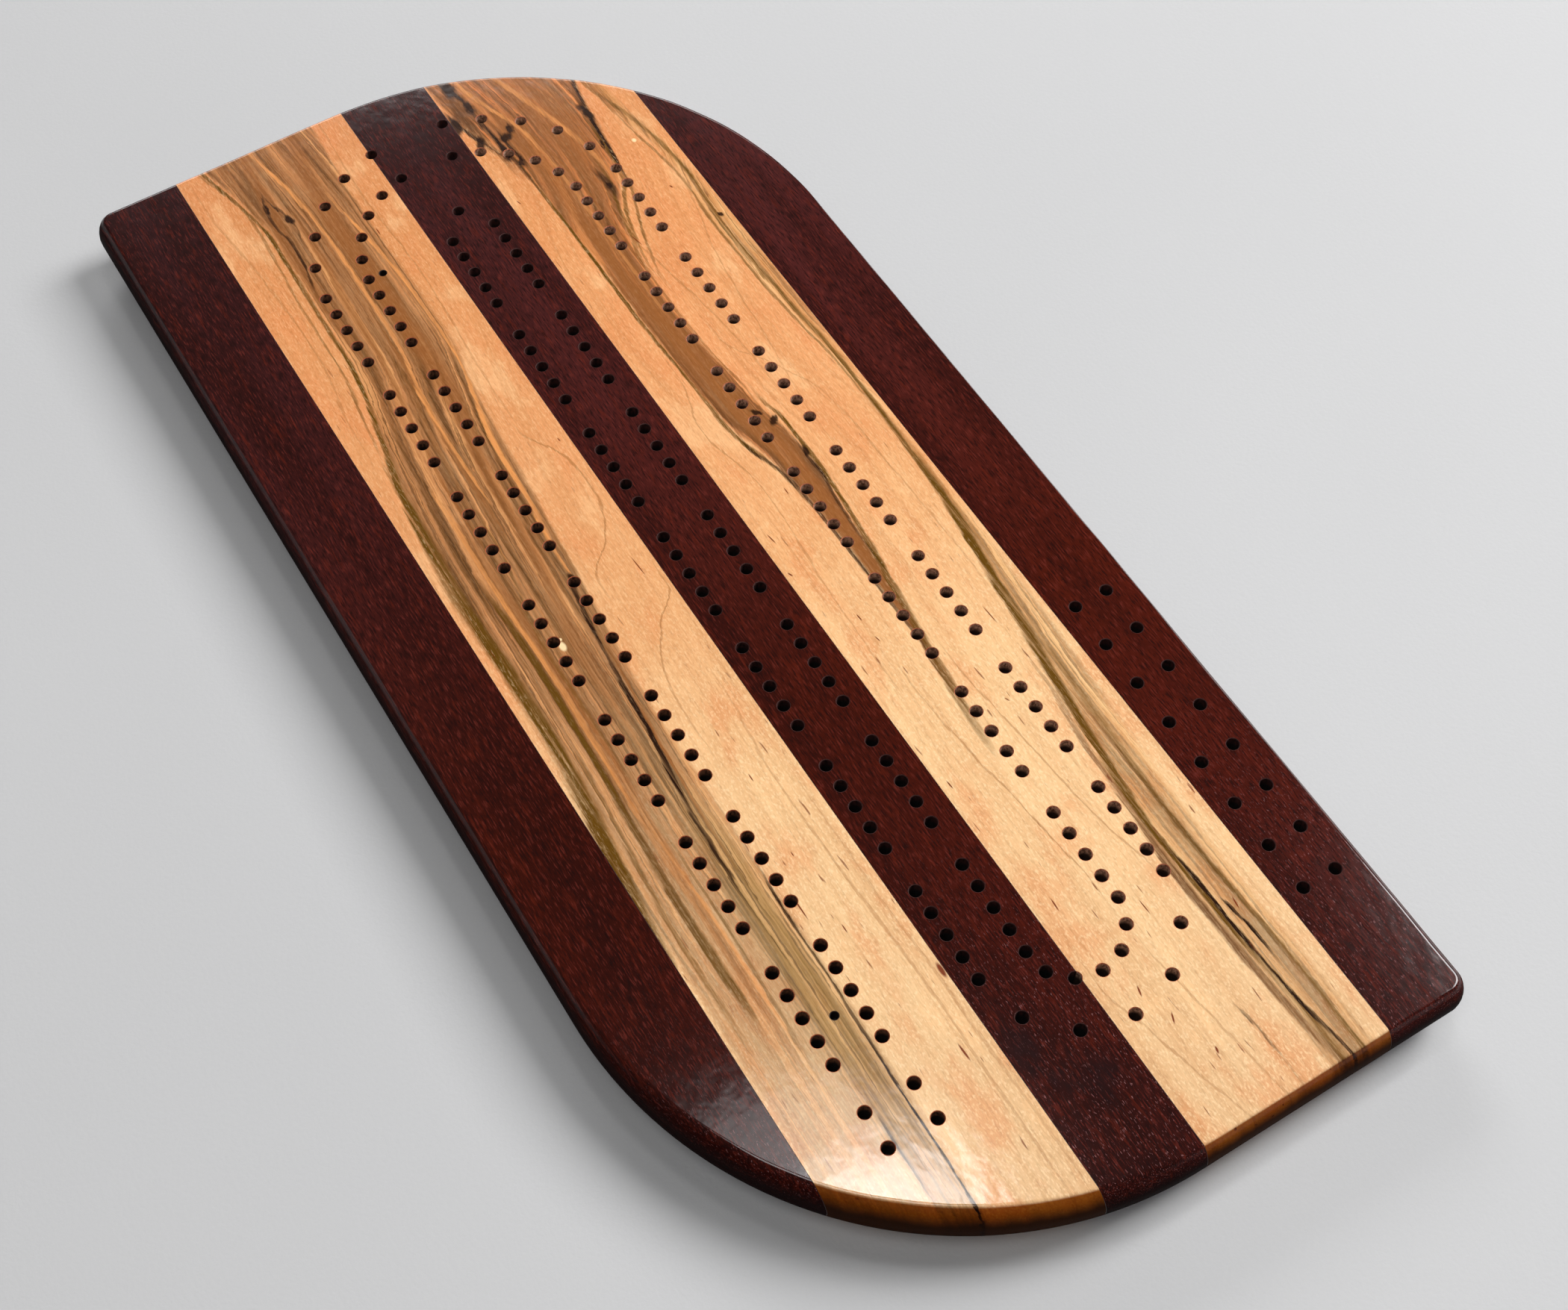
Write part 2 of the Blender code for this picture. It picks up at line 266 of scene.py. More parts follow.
# Each vein is a list of (y, x, half width, strength), in millimetres from far to near.
LEFT_VEINS = {
    "black": (
        ((17, -31.5, 0.0, 0.0), (12, -32.4, 0.9, 0.9), (0, -34.0, 0.6, 1.0), (-17, -35.5, 0.7, 1.0),
         (-37, -37.1, 0.9, 1.0), (-50, -38.8, 0.8, 1.0), (-63, -39.7, 0.7, 0.9), (-92, -40.7, 0.3, 0.3)),
        ((-73, -33.4, 0.2, 0.0), (-90, -34.3, 0.5, 0.9), (-113, -34.6, 0.5, 0.9), (-140, -35.1, 0.5, 0.9),
         (-170, -35.7, 0.5, 1.0), (-182, -35.9, 0.5, 1.0)),
        ((-140, -42.6, 0.1, 0.0), (-148, -42.8, 0.5, 0.9), (-158, -42.8, 0.4, 0.8), (-168, -43.0, 0.2, 0.2)),
        ((170, -43.6, 0.3, 0.2), (164, -44.8, 0.5, 0.7), (156, -45.2, 0.5, 0.7), (148, -44.0, 0.5, 0.7),
         (139, -44.4, 0.5, 0.8), (130, -45.4, 0.3, 0.2)),
        ((168, -43.4, 0.3, 0.3), (160, -41.4, 0.6, 0.7), (153, -40.4, 0.5, 0.6), (146, -41.8, 0.3, 0.2)),
    ),
    "olive": (
        ((187, -54.8, 0.8, 0.8), (170, -51.0, 0.7, 0.9), (150, -47.9, 0.7, 0.9), (126, -48.2, 0.8, 0.8),
         (101, -48.4, 0.9, 0.9), (83, -51.0, 1.0, 0.9), (64, -54.8, 1.2, 1.0), (50, -56.4, 1.6, 1.0)),
        ((187, -55.8, 0.5, 0.5), (160, -49.9, 0.5, 0.6), (126, -51.2, 0.5, 0.5), (101, -51.4, 0.5, 0.6),
         (76, -54.5, 0.5, 0.4), (64, -56.0, 0.4, 0.0)),
        ((62, -55.8, 1.2, 0.6), (38, -57.4, 2.2, 1.0), (20, -58.2, 2.5, 1.0), (0, -57.9, 2.5, 1.0),
         (-25, -58.3, 2.5, 1.0), (-45, -59.2, 2.7, 1.0), (-62, -60.6, 2.5, 1.0), (-85, -62.2, 1.8, 0.7)),
        ((30, -51.7, 0.5, 0.0), (10, -50.8, 0.8, 0.8), (-25, -51.3, 1.0, 0.9), (-50, -52.6, 1.1, 0.8),
         (-75, -53.4, 1.0, 0.7), (-95, -53.5, 1.5, 0.8), (-112, -53.3, 0.7, 0.2)),
        ((-20, -54.6, 0.3, 0.0), (-45, -55.5, 0.6, 0.6), (-80, -57.6, 0.8, 0.6), (-110, -58.0, 0.8, 0.3)),
        ((-60, -47.4, 0.3, 0.1), (-84, -47.6, 0.6, 0.5), (-115, -48.4, 0.5, 0.4), (-140, -49.0, 0.3, 0.0)),
        ((50, -42.4, 0.3, 0.0), (30, -42.8, 0.6, 0.5), (0, -47.0, 0.6, 0.4), (-40, -47.2, 0.5, 0.3)),
    ),
    "umber": (
        ((18, -51.2, 0.8, 0.6), (-5, -50.8, 1.0, 0.9), (-30, -51.4, 1.1, 0.9), (-60, -52.8, 1.0, 0.8),
         (-84, -53.6, 0.9, 0.5)),
        ((64, -44.0, 0.5, 0.6), (48, -45.6, 0.8, 0.8), (32, -46.6, 0.6, 0.6)),
        ((187, -46.0, 1.0, 0.5), (168, -45.2, 1.6, 0.7), (150, -44.2, 1.2, 0.6), (120, -46.4, 0.6, 0.5)),
    ),
    "brown": (
        ((42, -48.6, 1.4, 0.4), (10, -48.2, 2.2, 0.6), (-30, -48.8, 2.4, 0.7), (-60, -49.5, 2.0, 0.6),
         (-95, -50.4, 1.6, 0.5), (-118, -50.4, 1.2, 0.3)),
        ((187, -27.0, 2.5, 0.6), (150, -30.5, 3.4, 0.8), (110, -30.5, 3.6, 0.9), (76, -31.5, 3.2, 0.7),
         (55, -34.5, 2.2, 0.6), (20, -36.5, 2.2, 0.5), (-20, -40.0, 2.5, 0.3)),
        ((150, -39.0, 0.9, 0.6), (126, -40.0, 1.0, 0.7), (95, -41.0, 0.9, 0.8), (70, -44.3, 0.8, 0.8),
         (50, -46.0, 0.6, 0.9), (35, -46.3, 0.5, 0.5)),
        ((187, -42.5, 1.8, 0.5), (170, -43.0, 2.6, 0.7), (140, -46.0, 2.0, 0.6), (110, -45.0, 1.8, 0.5)),
        ((110, -36.2, 0.5, 0.3), (85, -37.4, 0.7, 0.8), (64, -39.0, 0.7, 0.8), (40, -39.4, 0.6, 0.6)),
        ((-10, -33.8, 0.4, 0.3), (-30, -35.6, 0.6, 0.8), (-50, -37.2, 0.6, 0.7), (-70, -38.2, 0.5, 0.4)),
    ),
    "orange": (
        ((187, -40.5, 0.6, 0.8), (165, -36.0, 0.8, 0.9), (140, -34.6, 0.7, 0.9), (110, -34.6, 0.6, 0.6),
         (80, -37.6, 0.7, 0.8), (50, -38.3, 0.6, 0.7)),
        ((160, -27.5, 0.4, 0.3), (139, -25.4, 0.7, 0.9), (114, -23.6, 0.6, 0.9), (90, -24.1, 0.6, 0.9),
         (64, -28.3, 0.9, 1.0), (40, -29.6, 1.0, 0.9), (18, -31.4, 0.6, 0.8)),
        ((-60, -49.2, 0.4, 0.2), (-88, -49.0, 0.5, 0.5), (-104, -48.9, 0.5, 0.5), (-118, -48.8, 0.4, 0.1)),
        ((50, -49.0, 0.6, 0.5), (20, -49.4, 0.8, 0.7), (-10, -49.2, 0.7, 0.7), (-50, -50.2, 0.7, 0.4)),
    ),
}
RIGHT_VEINS = {
    "black": (
        ((185, 17.0, 0.4, 0.4), (179, 18.3, 1.0, 0.9), (174, 19.6, 1.1, 1.0), (168, 20.2, 0.5, 0.6),
         (160, 20.6, 0.7, 0.9), (150, 21.4, 0.6, 0.9), (140, 21.8, 0.8, 0.8), (126, 22.2, 0.3, 0.3)),
        ((172, 13.4, 0.3, 0.0), (166, 14.0, 1.1, 1.0), (158, 16.2, 0.8, 0.9), (150, 18.8, 0.4, 0.6),
         (142, 20.9, 0.4, 0.2)),
        ((158, 22.5, 0.3, 0.0), (152, 22.7, 0.6, 0.9), (143, 23.5, 0.5, 0.8), (137, 24.0, 0.2, 0.1)),
        ((166, 50.8, 0.6, 0.5), (158, 49.6, 0.8, 0.9), (150, 48.5, 0.8, 1.0), (140, 47.2, 0.7, 0.9),
         (128, 46.2, 0.8, 0.8), (118, 44.6, 0.4, 0.2)),
        ((136, 38.0, 0.4, 0.0), (126, 39.0, 1.2, 0.7), (121, 39.6, 1.5, 0.8), (114, 39.4, 0.4, 0.0)),
        ((25, 26.4, 0.5, 0.4), (13, 29.6, 0.7, 0.8), (0, 30.6, 0.8, 0.8), (-20, 31.0, 0.7, 0.8),
         (-45, 31.4, 0.5, 0.5)),
        ((15, 37.6, 0.5, 0.8), (8, 37.6, 0.7, 0.9), (0, 36.4, 0.6, 0.7), (-20, 35.4, 0.4, 0.4)),
        ((-122, 48.6, 0.3, 0.2), (-132, 49.1, 0.7, 0.9), (-150, 49.6, 0.6, 1.0), (-165, 50.6, 0.6, 0.9),
         (-178, 52.2, 0.6, 0.9), (-187, 53.6, 0.6, 0.9)),
        ((-138, 50.6, 0.2, 0.0), (-143, 51.8, 0.6, 0.9), (-150, 52.6, 0.6, 0.9), (-158, 53.0, 0.3, 0.2)),
        ((-160, 38.2, 0.2, 0.0), (-168, 39.0, 0.4, 0.7), (-178, 39.8, 0.2, 0.2)),
    ),
    "olive": (
        ((140, 46.4, 0.9, 0.6), (124, 44.6, 0.9, 0.8), (113, 39.6, 0.8, 0.8), (102, 36.4, 0.6, 0.7),
         (90, 34.6, 0.4, 0.4)),
        ((134, 45.2, 0.6, 0.5), (120, 44.6, 0.7, 0.8), (108, 40.6, 0.6, 0.8), (96, 37.4, 0.5, 0.6),
         (84, 35.4, 0.4, 0.3)),
        ((126, 40.6, 0.5, 0.5), (114, 38.0, 0.7, 0.7), (104, 36.0, 0.7, 0.7), (92, 33.8, 0.5, 0.4)),
        ((165, 52.5, 0.8, 0.6), (140, 57.8, 0.8, 0.6), (114, 60.6, 0.8, 0.8), (90, 58.6, 0.9, 0.8),
         (64, 59.4, 0.8, 0.8), (32, 61.2, 0.8, 0.8), (0, 60.4, 1.0, 0.9), (-20, 59.5, 1.2, 0.9)),
        ((168, 53.8, 0.4, 0.5), (140, 55.2, 0.4, 0.5), (112, 58.0, 0.5, 0.7), (88, 56.8, 0.5, 0.7),
         (60, 57.8, 0.5, 0.6), (30, 60.0, 0.5, 0.6)),
        ((0, 60.6, 0.9, 0.5), (-24, 58.6, 1.5, 1.0), (-43, 56.2, 1.7, 1.0), (-62, 54.4, 1.8, 0.9),
         (-88, 51.2, 1.5, 1.0), (-105, 49.4, 1.3, 0.9), (-122, 48.3, 1.3, 0.9), (-187, 51.5, 1.5, 0.6)),
        ((-60, 56.5, 0.9, 0.4), (-90, 55.5, 1.1, 0.6), (-120, 54.0, 1.2, 0.7), (-150, 55.5, 1.0, 0.7),
         (-187, 56.2, 1.0, 0.8)),
        ((38, 36.8, 0.6, 0.2), (26, 38.7, 0.8, 0.9), (12, 38.6, 0.8, 0.9), (-10, 36.8, 0.9, 0.9),
         (-35, 34.0, 1.2, 0.8), (-60, 30.8, 1.5, 0.7), (-78, 29.0, 1.2, 0.5), (-92, 28.4, 0.5, 0.0)),
        ((45, 24.3, 0.5, 0.4), (32, 24.8, 0.9, 0.9), (18, 28.0, 0.8, 0.8), (8, 29.8, 0.5, 0.2)),
        ((140, 22.2, 0.5, 0.8), (112, 22.8, 0.7, 0.9), (85, 22.6, 0.8, 0.9), (60, 23.3, 0.7, 0.9),
         (40, 24.0, 0.7, 0.8)),
    ),
    "umber": (
        ((187, 16.6, 1.8, 0.8), (176, 18.6, 2.4, 0.9), (165, 17.2, 2.4, 0.9), (154, 17.8, 1.7, 0.7),
         (144, 20.0, 1.2, 0.5)),
        ((160, 24.8, 1.0, 0.4), (152, 24.2, 2.0, 0.6), (142, 24.4, 1.0, 0.4)),
        ((168, 50.6, 1.4, 0.5), (154, 48.8, 1.7, 0.7), (138, 47.0, 1.5, 0.7), (124, 45.2, 1.0, 0.4)),
        ((-70, 50.8, 0.6, 0.4), (-92, 48.6, 0.9, 0.6), (-112, 47.4, 1.0, 0.7), (-130, 46.2, 1.3, 0.8),
         (-150, 46.6, 1.4, 0.8), (-168, 48.0, 1.4, 0.7), (-187, 50.4, 1.4, 0.7)),
        ((-84, 54.4, 0.5, 0.5), (-110, 54.0, 0.7, 0.7), (-135, 54.4, 0.5, 0.5)),
        ((24, 36.8, 0.7, 0.5), (6, 35.9, 1.3, 0.8), (-18, 34.2, 1.5, 0.9), (-42, 32.4, 1.1, 0.8),
         (-62, 30.4, 0.8, 0.5)),
        ((90, 24.0, 0.8, 0.6), (62, 24.6, 0.9, 0.7), (38, 26.0, 1.0, 0.8), (16, 30.6, 0.8, 0.6)),
    ),
    "brown": (
        ((187, 14.0, 2.0, 0.6), (170, 22.0, 4.5, 0.6), (150, 27.0, 6.0, 0.7), (126, 27.5, 5.4, 0.7),
         (101, 28.0, 5.4, 0.9), (64, 28.6, 5.2, 0.9), (38, 30.5, 5.2, 0.9), (15, 34.0, 3.8, 0.9)),
        ((187, 28.0, 5.0, 0.5), (165, 38.0, 8.0, 0.6), (145, 39.0, 8.0, 0.7), (126, 38.0, 6.0, 0.5),
         (108, 34.5, 2.5, 0.2)),
        ((38, 30.5, 4.0, 0.5), (10, 33.8, 3.2, 1.0), (-20, 33.3, 2.6, 0.9), (-45, 32.2, 1.6, 0.7),
         (-70, 30.8, 0.9, 0.2)),
        ((185, 23.5, 0.5, 0.7), (165, 25.0, 0.5, 0.8), (145, 26.3, 0.6, 0.9), (120, 26.8, 0.5, 0.8),
         (90, 25.8, 0.4, 0.6), (50, 26.2, 0.4, 0.5)),
        ((160, 30.0, 0.4, 0.3), (135, 32.6, 0.6, 0.9), (110, 33.6, 0.6, 0.8), (76, 33.0, 0.5, 0.9),
         (55, 33.8, 0.5, 0.8), (38, 35.6, 0.4, 0.5)),
    ),
    "orange": (
        ((122, 43.0, 0.7, 0.5), (110, 38.2, 0.9, 0.6), (98, 35.6, 0.7, 0.5)),
        ((180, 30.5, 1.2, 0.5), (160, 36.0, 1.0, 0.6), (140, 40.5, 0.9, 0.6), (125, 42.0, 0.7, 0.4)),
        ((187, 20.5, 0.6, 0.8), (170, 23.5, 0.8, 0.7), (150, 29.5, 0.7, 0.6), (120, 30.5, 0.6, 0.6),
         (80, 30.0, 0.6, 0.4)),
    ),
}

# The zone of brown heart in each maple strip: its left and right bounds, and its strength
LEFT_ZONE = {
    "feather": 1.2,
    "left": ((187, -54.0), (165, -49.6), (150, -47.6), (101, -48.2), (83, -51.0), (60, -55.5), (30, -58.0),
             (-30, -58.4), (-62, -60.8), (-187, -62.0)),
    "right": ((187, -20.0), (133, -21.8), (101, -21.6), (76, -24.6), (50, -26.4), (10, -29.4),
              (-20, -31.8), (-60, -32.8), (-130, -33.6), (-187, -34.0)),
    "strength": ((187, 0.85), (100, 0.95), (30, 0.95), (-30, 0.9), (-62, 0.75), (-110, 0.52), (-187, 0.34)),
}
RIGHT_ZONE = {
    "feather": 1.2,
    "left": ((187, 13.0), (170, 14.0), (156, 18.0), (139, 21.6), (101, 22.8), (64, 23.4), (38, 24.4),
             (13, 29.4), (-24, 31.2), (-62, 30.0)),
    "right": ((187, 45.0), (165, 50.5), (139, 47.3), (124, 44.0), (108, 37.0), (90, 33.8), (64, 33.4),
              (38, 36.0), (15, 38.3), (-12, 36.0), (-49, 32.3), (-75, 30.0)),
    "strength": ((187, 0.9), (130, 0.9), (90, 0.95), (10, 0.95), (-30, 0.85), (-62, 0.3), (-85, 0.0)),
}

# A grey-green stain between the left strip's hole columns, and a tan one along the near right
LEFT_GREEN = {
    "feather": 5.5,
    "left": ((-25, -43.5), (-90, -45.4), (-130, -46.0), (-187, -45.0)),
    "right": ((-25, -35.0), (-90, -32.0), (-187, -32.4)),
    "strength": ((-25, 0.0), (-55, 0.55), (-105, 0.9), (-140, 0.8), (-165, 0.45), (-187, 0.3)),
}
RIGHT_TAN = {
    "feather": 2.0,
    "left": ((187, 51.5), (150, 53.5), (120, 57.4), (90, 55.8), (60, 57.0), (30, 59.0), (0, 59.0),
             (-24, 57.0), (-60, 52.6), (-95, 48.2), (-130, 45.0), (-187, 46.6)),
    "right": ((187, 56.0), (150, 58.6), (120, 62.4), (90, 63.5), (-60, 62.0), (-130, 59.0), (-187, 60.0)),
    "strength": ((187, 0.6), (120, 0.8), (30, 0.75), (-24, 0.75), (-60, 0.7), (-130, 0.62), (-187, 0.6)),
}

# Single marks: (x, y, half width, half length, lean in degrees)
LEFT_MARKS = {
    "black": ((-40.8, 156.8, 1.2, 2.8, 12), (-44.4, 163.0, 0.6, 3.0, -6), (-31.6, 12.5, 1.2, 3.0, 8)),
    "russet": ((-12.1, -121.8, 0.8, 2.7, 0), (-16.0, 7.5, 0.2, 4.0, 3), (-25.0, -102.0, 0.2, 1.6, 0),
               (-18.6, -140.5, 0.35, 3.0, 2), (-30.8, -92.0, 0.25, 5.0, 0), (-25.2, -80.0, 0.18, 0.9, 0),
               (-22.0, 140.0, 0.2, 1.8, 0), (-14.0, 52.0, 0.2, 0.9, 6), (-23.0, -58.0, 0.2, 1.5, 0)),
    "pale": ((-43.1, -3.2, 1.1, 1.9, 0), (-42.6, -1.2, 0.5, 0.6, 0)),
}
RIGHT_MARKS = {
    "black": ((18.6, 177.0, 2.6, 4.8, -10), (20.4, 168.0, 1.7, 3.8, 0), (13.8, 163.5, 2.2, 5.2, -14),
              (16.8, 154.0, 1.7, 4.2, -18), (24.0, 152.4, 2.6, 2.0, 20), (26.2, 154.6, 1.4, 3.2, -16),
              (21.0, 147.0, 1.6, 4.2, -8), (23.4, 142.0, 1.2, 3.0, -10), (47.6, 149.0, 1.4, 5.4, 8),
              (36.0, 28.2, 1.3, 2.4, -25), (37.9, 15.6, 1.2, 2.4, -12), (33.5, 32.6, 0.9, 2.4, 40),
              (60.4, 96.0, 0.7, 1.6, 10), (39.6, 121.4, 0.9, 1.9, 10), (45.6, 136.0, 0.5, 2.4, -8)),
    "russet": ((15.4, -84.0, 0.25, 1.6, 4), (39.8, -72.0, 0.2, 0.9, 25), (18.5, -122.0, 0.25, 2.2, -3),
               (35.4, -133.0, 0.2, 2.6, 2), (22.3, -149.0, 0.3, 1.8, -14), (24.8, -158.0, 0.3, 1.8, -22),
               (28.5, -169.0, 0.35, 1.2, -12), (49.8, -50.0, 0.2, 3.5, 3), (22.3, -34.0, 0.25, 1.4, 4),
               (14.6, -14.5, 0.3, 1.0, 22), (16.2, -3.0, 0.22, 2.2, 8), (54.0, 112.0, 0.3, 0.8, 20),
               (27.0, 7.5, 0.2, 1.5, 0), (15.5, 129.0, 0.2, 1.2, 15), (36.2, 100.0, 0.2, 3.0, 12),
               (22.8, -41.5, 0.2, 1.2, 10), (53.5, -143.0, 0.25, 2.0, -8)),
    "pale": ((53.9, 132.5, 0.8, 1.0, 0),),
}

# Faint single grain lines in the clear wood, as veins
LEFT_LINES = (
    ((62, -21.8, 0.3, 0.2), (46, -15.4, 0.4, 0.8), (32, -14.6, 0.4, 0.8), (19, -19.2, 0.4, 0.8),
     (8, -26.5, 0.4, 0.5)),
    ((0, -12.8, 0.4, 0.6), (-10, -19.6, 0.4, 0.8), (-25, -26.2, 0.4, 0.6), (-45, -27.6, 0.3, 0.3)),
    ((-30, -16.0, 0.3, 0.3), (-60, -18.0, 0.4, 0.5), (-110, -16.8, 0.5, 0.6), (-160, -16.9, 0.5, 0.5),
     (-187, -17.6, 0.4, 0.3)),
    ((-70, -13.6, 0.3, 0.3), (-120, -13.8, 0.4, 0.5), (-175, -13.0, 0.4, 0.4)),
    ((180, -18.4, 0.3, 0.5), (150, -19.6, 0.4, 0.6), (120, -18.6, 0.3, 0.5), (70, -21.0, 0.3, 0.4)),
    ((175, -59.0, 0.4, 0.3), (140, -55.6, 0.4, 0.5), (110, -54.4, 0.4, 0.5), (80, -57.8, 0.4, 0.4)),
)
RIGHT_LINES = (
    ((-55, 23.0, 0.3, 0.4), (-80, 24.6, 0.3, 0.7), (-105, 27.4, 0.3, 0.8), (-122, 29.0, 0.3, 0.5)),
    ((-55, 35.0, 0.3, 0.4), (-85, 37.4, 0.3, 0.7), (-110, 40.2, 0.3, 0.7), (-128, 43.0, 0.3, 0.3)),
    ((-140, 29.6, 0.3, 0.3), (-155, 31.6, 0.4, 0.6), (-170, 33.6, 0.4, 0.5), (-187, 36.0, 0.4, 0.5)),
    ((-142, 15.4, 0.3, 0.4), (-158, 19.0, 0.4, 0.6), (-172, 21.8, 0.4, 0.5), (-187, 26.0, 0.4, 0.4)),
    ((60, 38.0, 0.3, 0.3), (44, 46.0, 0.3, 0.5), (30, 52.0, 0.3, 0.4), (0, 53.6, 0.3, 0.5),
     (-40, 54.0, 0.3, 0.3)),
    ((55, 22.0, 0.3, 0.4), (35, 18.2, 0.3, 0.7), (10, 22.6, 0.3, 0.6), (-20, 20.4, 0.3, 0.5),
     (-50, 19.6, 0.3, 0.4)),
    ((120, 33.0, 0.3, 0.2), (90, 37.2, 0.3, 0.6), (60, 41.4, 0.3, 0.5), (40, 42.6, 0.3, 0.3)),
    ((118, 58.0, 0.3, 0.3), (80, 51.6, 0.3, 0.5), (50, 48.8, 0.3, 0.4), (20, 45.6, 0.3, 0.3)),
)

LEFT_FIGURE = {"veins": LEFT_VEINS, "marks": LEFT_MARKS, "lines": LEFT_LINES}
RIGHT_FIGURE = {"veins": RIGHT_VEINS, "marks": RIGHT_MARKS, "lines": RIGHT_LINES}

TONES = {
    "black": srgb(46, 24, 12, 0.8),
    "olive": srgb(98, 66, 16),
    "umber": srgb(100, 62, 32),
    "brown": srgb(146, 90, 46),
    "orange": srgb(222, 148, 84),
    "russet": srgb(120, 44, 18, 0.9),
    "pale": srgb(255, 222, 170, 0.95),
    "line": srgb(170, 112, 62, 0.9),
}


def wood_place(g):
    """The point in metres, its height, x and y in shares of the span, and a fine fibre noise."""
    place = g.node("TexCoord").outputs["Object"]
    meander = g.noise(place, (70.0, 16.0, 40.0), 2.0)
    fibre = g.noise(place, (1400.0, 26.0, 1400.0), 2.0, 0.6)
    ripple = g.noise(place, (700.0, 190.0, 700.0), 2.0, 0.6)
    split = g.node("SeparateXYZ")
    g.feed(split.inputs[0], place)
    drift = g.math("MULTIPLY_ADD", meander, 2.4 / SPAN_X, -1.2 / SPAN_X)
    jitter = g.math("MULTIPLY_ADD", fibre, 1.1 / SPAN_X, -0.55 / SPAN_X)
    across = g.math("MULTIPLY_ADD", split.outputs[0], 1.0 / (SPAN_X * MM), 0.5)
    shiver = g.math("MULTIPLY_ADD", ripple, 0.9 / SPAN_X, -0.45 / SPAN_X)
    across = g.math("ADD", g.math("ADD", across, drift), g.math("ADD", jitter, shiver))
    along = g.math("MULTIPLY_ADD", split.outputs[1], 1.0 / (SPAN_Y * MM), 0.5)
    return place, split.outputs[2], across, along, fibre


def vein(g, across, along, points):
    """A soft line through the points, which fades out past an end that is on the board."""
    points = sorted(points)
    for (y, x, half, strength), step in ((points[0], -VEIN_FADE), (points[-1], VEIN_FADE)):
        if abs(y) < FIGURE_END:
            points.append((y + step, x, 0.3 * half, 0.0))
    points.sort()
    ends = [(share_y(y), share_x(x)) for y, x, half, strength in points]
    halves = [(share_y(y), half / SPAN_X) for y, x, half, strength in points]
    strengths = [(share_y(y), strength) for y, x, half, strength in points]
    centre, half, strength = g.curves(along, (ends, halves, strengths))
    away = g.math("ABSOLUTE", g.math("SUBTRACT", across, centre))
    core = g.math("MULTIPLY", half, 0.4)
    return g.math("MULTIPLY", g.map(away, half, core), strength)


def strongest(g, masks):
    total = masks[0]
    for mask in masks[1:]:
        total = g.math("MAXIMUM", total, mask)
    return total


def ragged(g, place):
    """The place, pushed about by a fine noise, for spots with torn outlines."""
    made = g.node("TexNoise")
    g.feed(made.inputs["Vector"], g.vector("MULTIPLY", place, (900.0, 350.0, 900.0)))
    made.inputs["Scale"].default_value = 1.0
    made.inputs["Detail"].default_value = 2.0
    push = g.vector("SUBTRACT", made.outputs["Color"], (0.5, 0.5, 0.5))
    return g.vector("MULTIPLY_ADD", push, (0.0022, 0.0022, 0.0), place)


def mark(g, place, x, y, half_x, half_y, lean):
    """A small spot, given in millimetres."""
    made = g.node("Mapping", vector_type="TEXTURE")
    g.feed(made.inputs["Vector"], place)
    made.inputs["Location"].default_value = (x * MM, y * MM, TOP_Z)
    made.inputs["Rotation"].default_value = (0.0, 0.0, math.radians(lean))
    made.inputs["Scale"].default_value = (half_x * MM, half_y * MM, 6 * MM)
    return g.map(g.vector("LENGTH", made.outputs[0]), 1.0, 0.45)


def zone(g, across, along, bounds):
    """The strength of a coloured zone, and its middle line."""
    lists = []
    for name in ("left", "right"):
        lists.append([(share_y(y), share_x(x)) for y, x in sorted(bounds[name])])
    lists.append([(share_y(y), strength) for y, strength in sorted(bounds["strength"])])
    left, right, strength = g.curves(along, lists)
    feather = bounds["feather"] / SPAN_X
    enters = g.map(g.math("SUBTRACT", across, left), 0.0, feather)
    leaves = g.map(g.math("SUBTRACT", right, across), 0.0, feather)
    inside = g.math("MULTIPLY", g.math("MULTIPLY", enters, leaves), strength)
    return inside, g.math("MULTIPLY", g.math("ADD", left, right), 0.5)


def flow_place(g, across, middle, along):
    """Coordinates in metres that bend with a zone's middle line, so that grain follows it."""
    joined = g.node("CombineXYZ")
    shifted = g.math("SUBTRACT", across, middle)
    g.feed(joined.inputs[0], g.math("MULTIPLY", shifted, SPAN_X * MM))
    g.feed(joined.inputs[1], g.math("MULTIPLY", along, SPAN_Y * MM))
    return joined.outputs[0]


# The maple's colour from the near end to the far end: partly its own tone, and partly painted light that
# makes the near half paler and brighter than the far end
MAPLE_TONE_AND_PAINTED_LIGHT = (
    (0.03, srgb(234, 192, 144)),
    (0.20, srgb(246, 203, 151)),
    (0.34, srgb(248, 202, 148)),
    (0.48, srgb(238, 175, 119)),
    (0.62, srgb(234, 162, 106)),
    (0.82, srgb(230, 154, 97)),
    (0.97, srgb(221, 143, 88)),
)

HEART_TONES = (
    (0.37, srgb(78, 48, 18)),
    (0.44, srgb(124, 80, 40)),
    (0.50, srgb(150, 104, 66)),
    (0.56, srgb(178, 118, 70)),
    (0.63, srgb(210, 150, 94)),
)
RED_HEART_TONES = (
    (0.37, srgb(76, 44, 20)),
    (0.44, srgb(122, 74, 40)),
    (0.50, srgb(146, 91, 55)),
    (0.56, srgb(194, 113, 60)),
    (0.63, srgb(220, 140, 80)),
)
TAN_TONES = (
    (0.37, srgb(98, 66, 24)),
    (0.44, srgb(142, 94, 42)),
    (0.50, srgb(180, 122, 66)),
    (0.56, srgb(206, 150, 92)),
    (0.63, srgb(232, 184, 126)),
)
GREEN_TONES = (
    (0.38, srgb(92, 68, 28)),
    (0.46, srgb(138, 104, 54)),
    (0.54, srgb(176, 136, 82)),
    (0.62, srgb(214, 170, 114)),
)

LEFT_FIGURE["zones"] = ((LEFT_ZONE, HEART_TONES), (LEFT_GREEN, GREEN_TONES))
RIGHT_FIGURE["zones"] = ((RIGHT_ZONE, RED_HEART_TONES), (RIGHT_TAN, TAN_TONES))

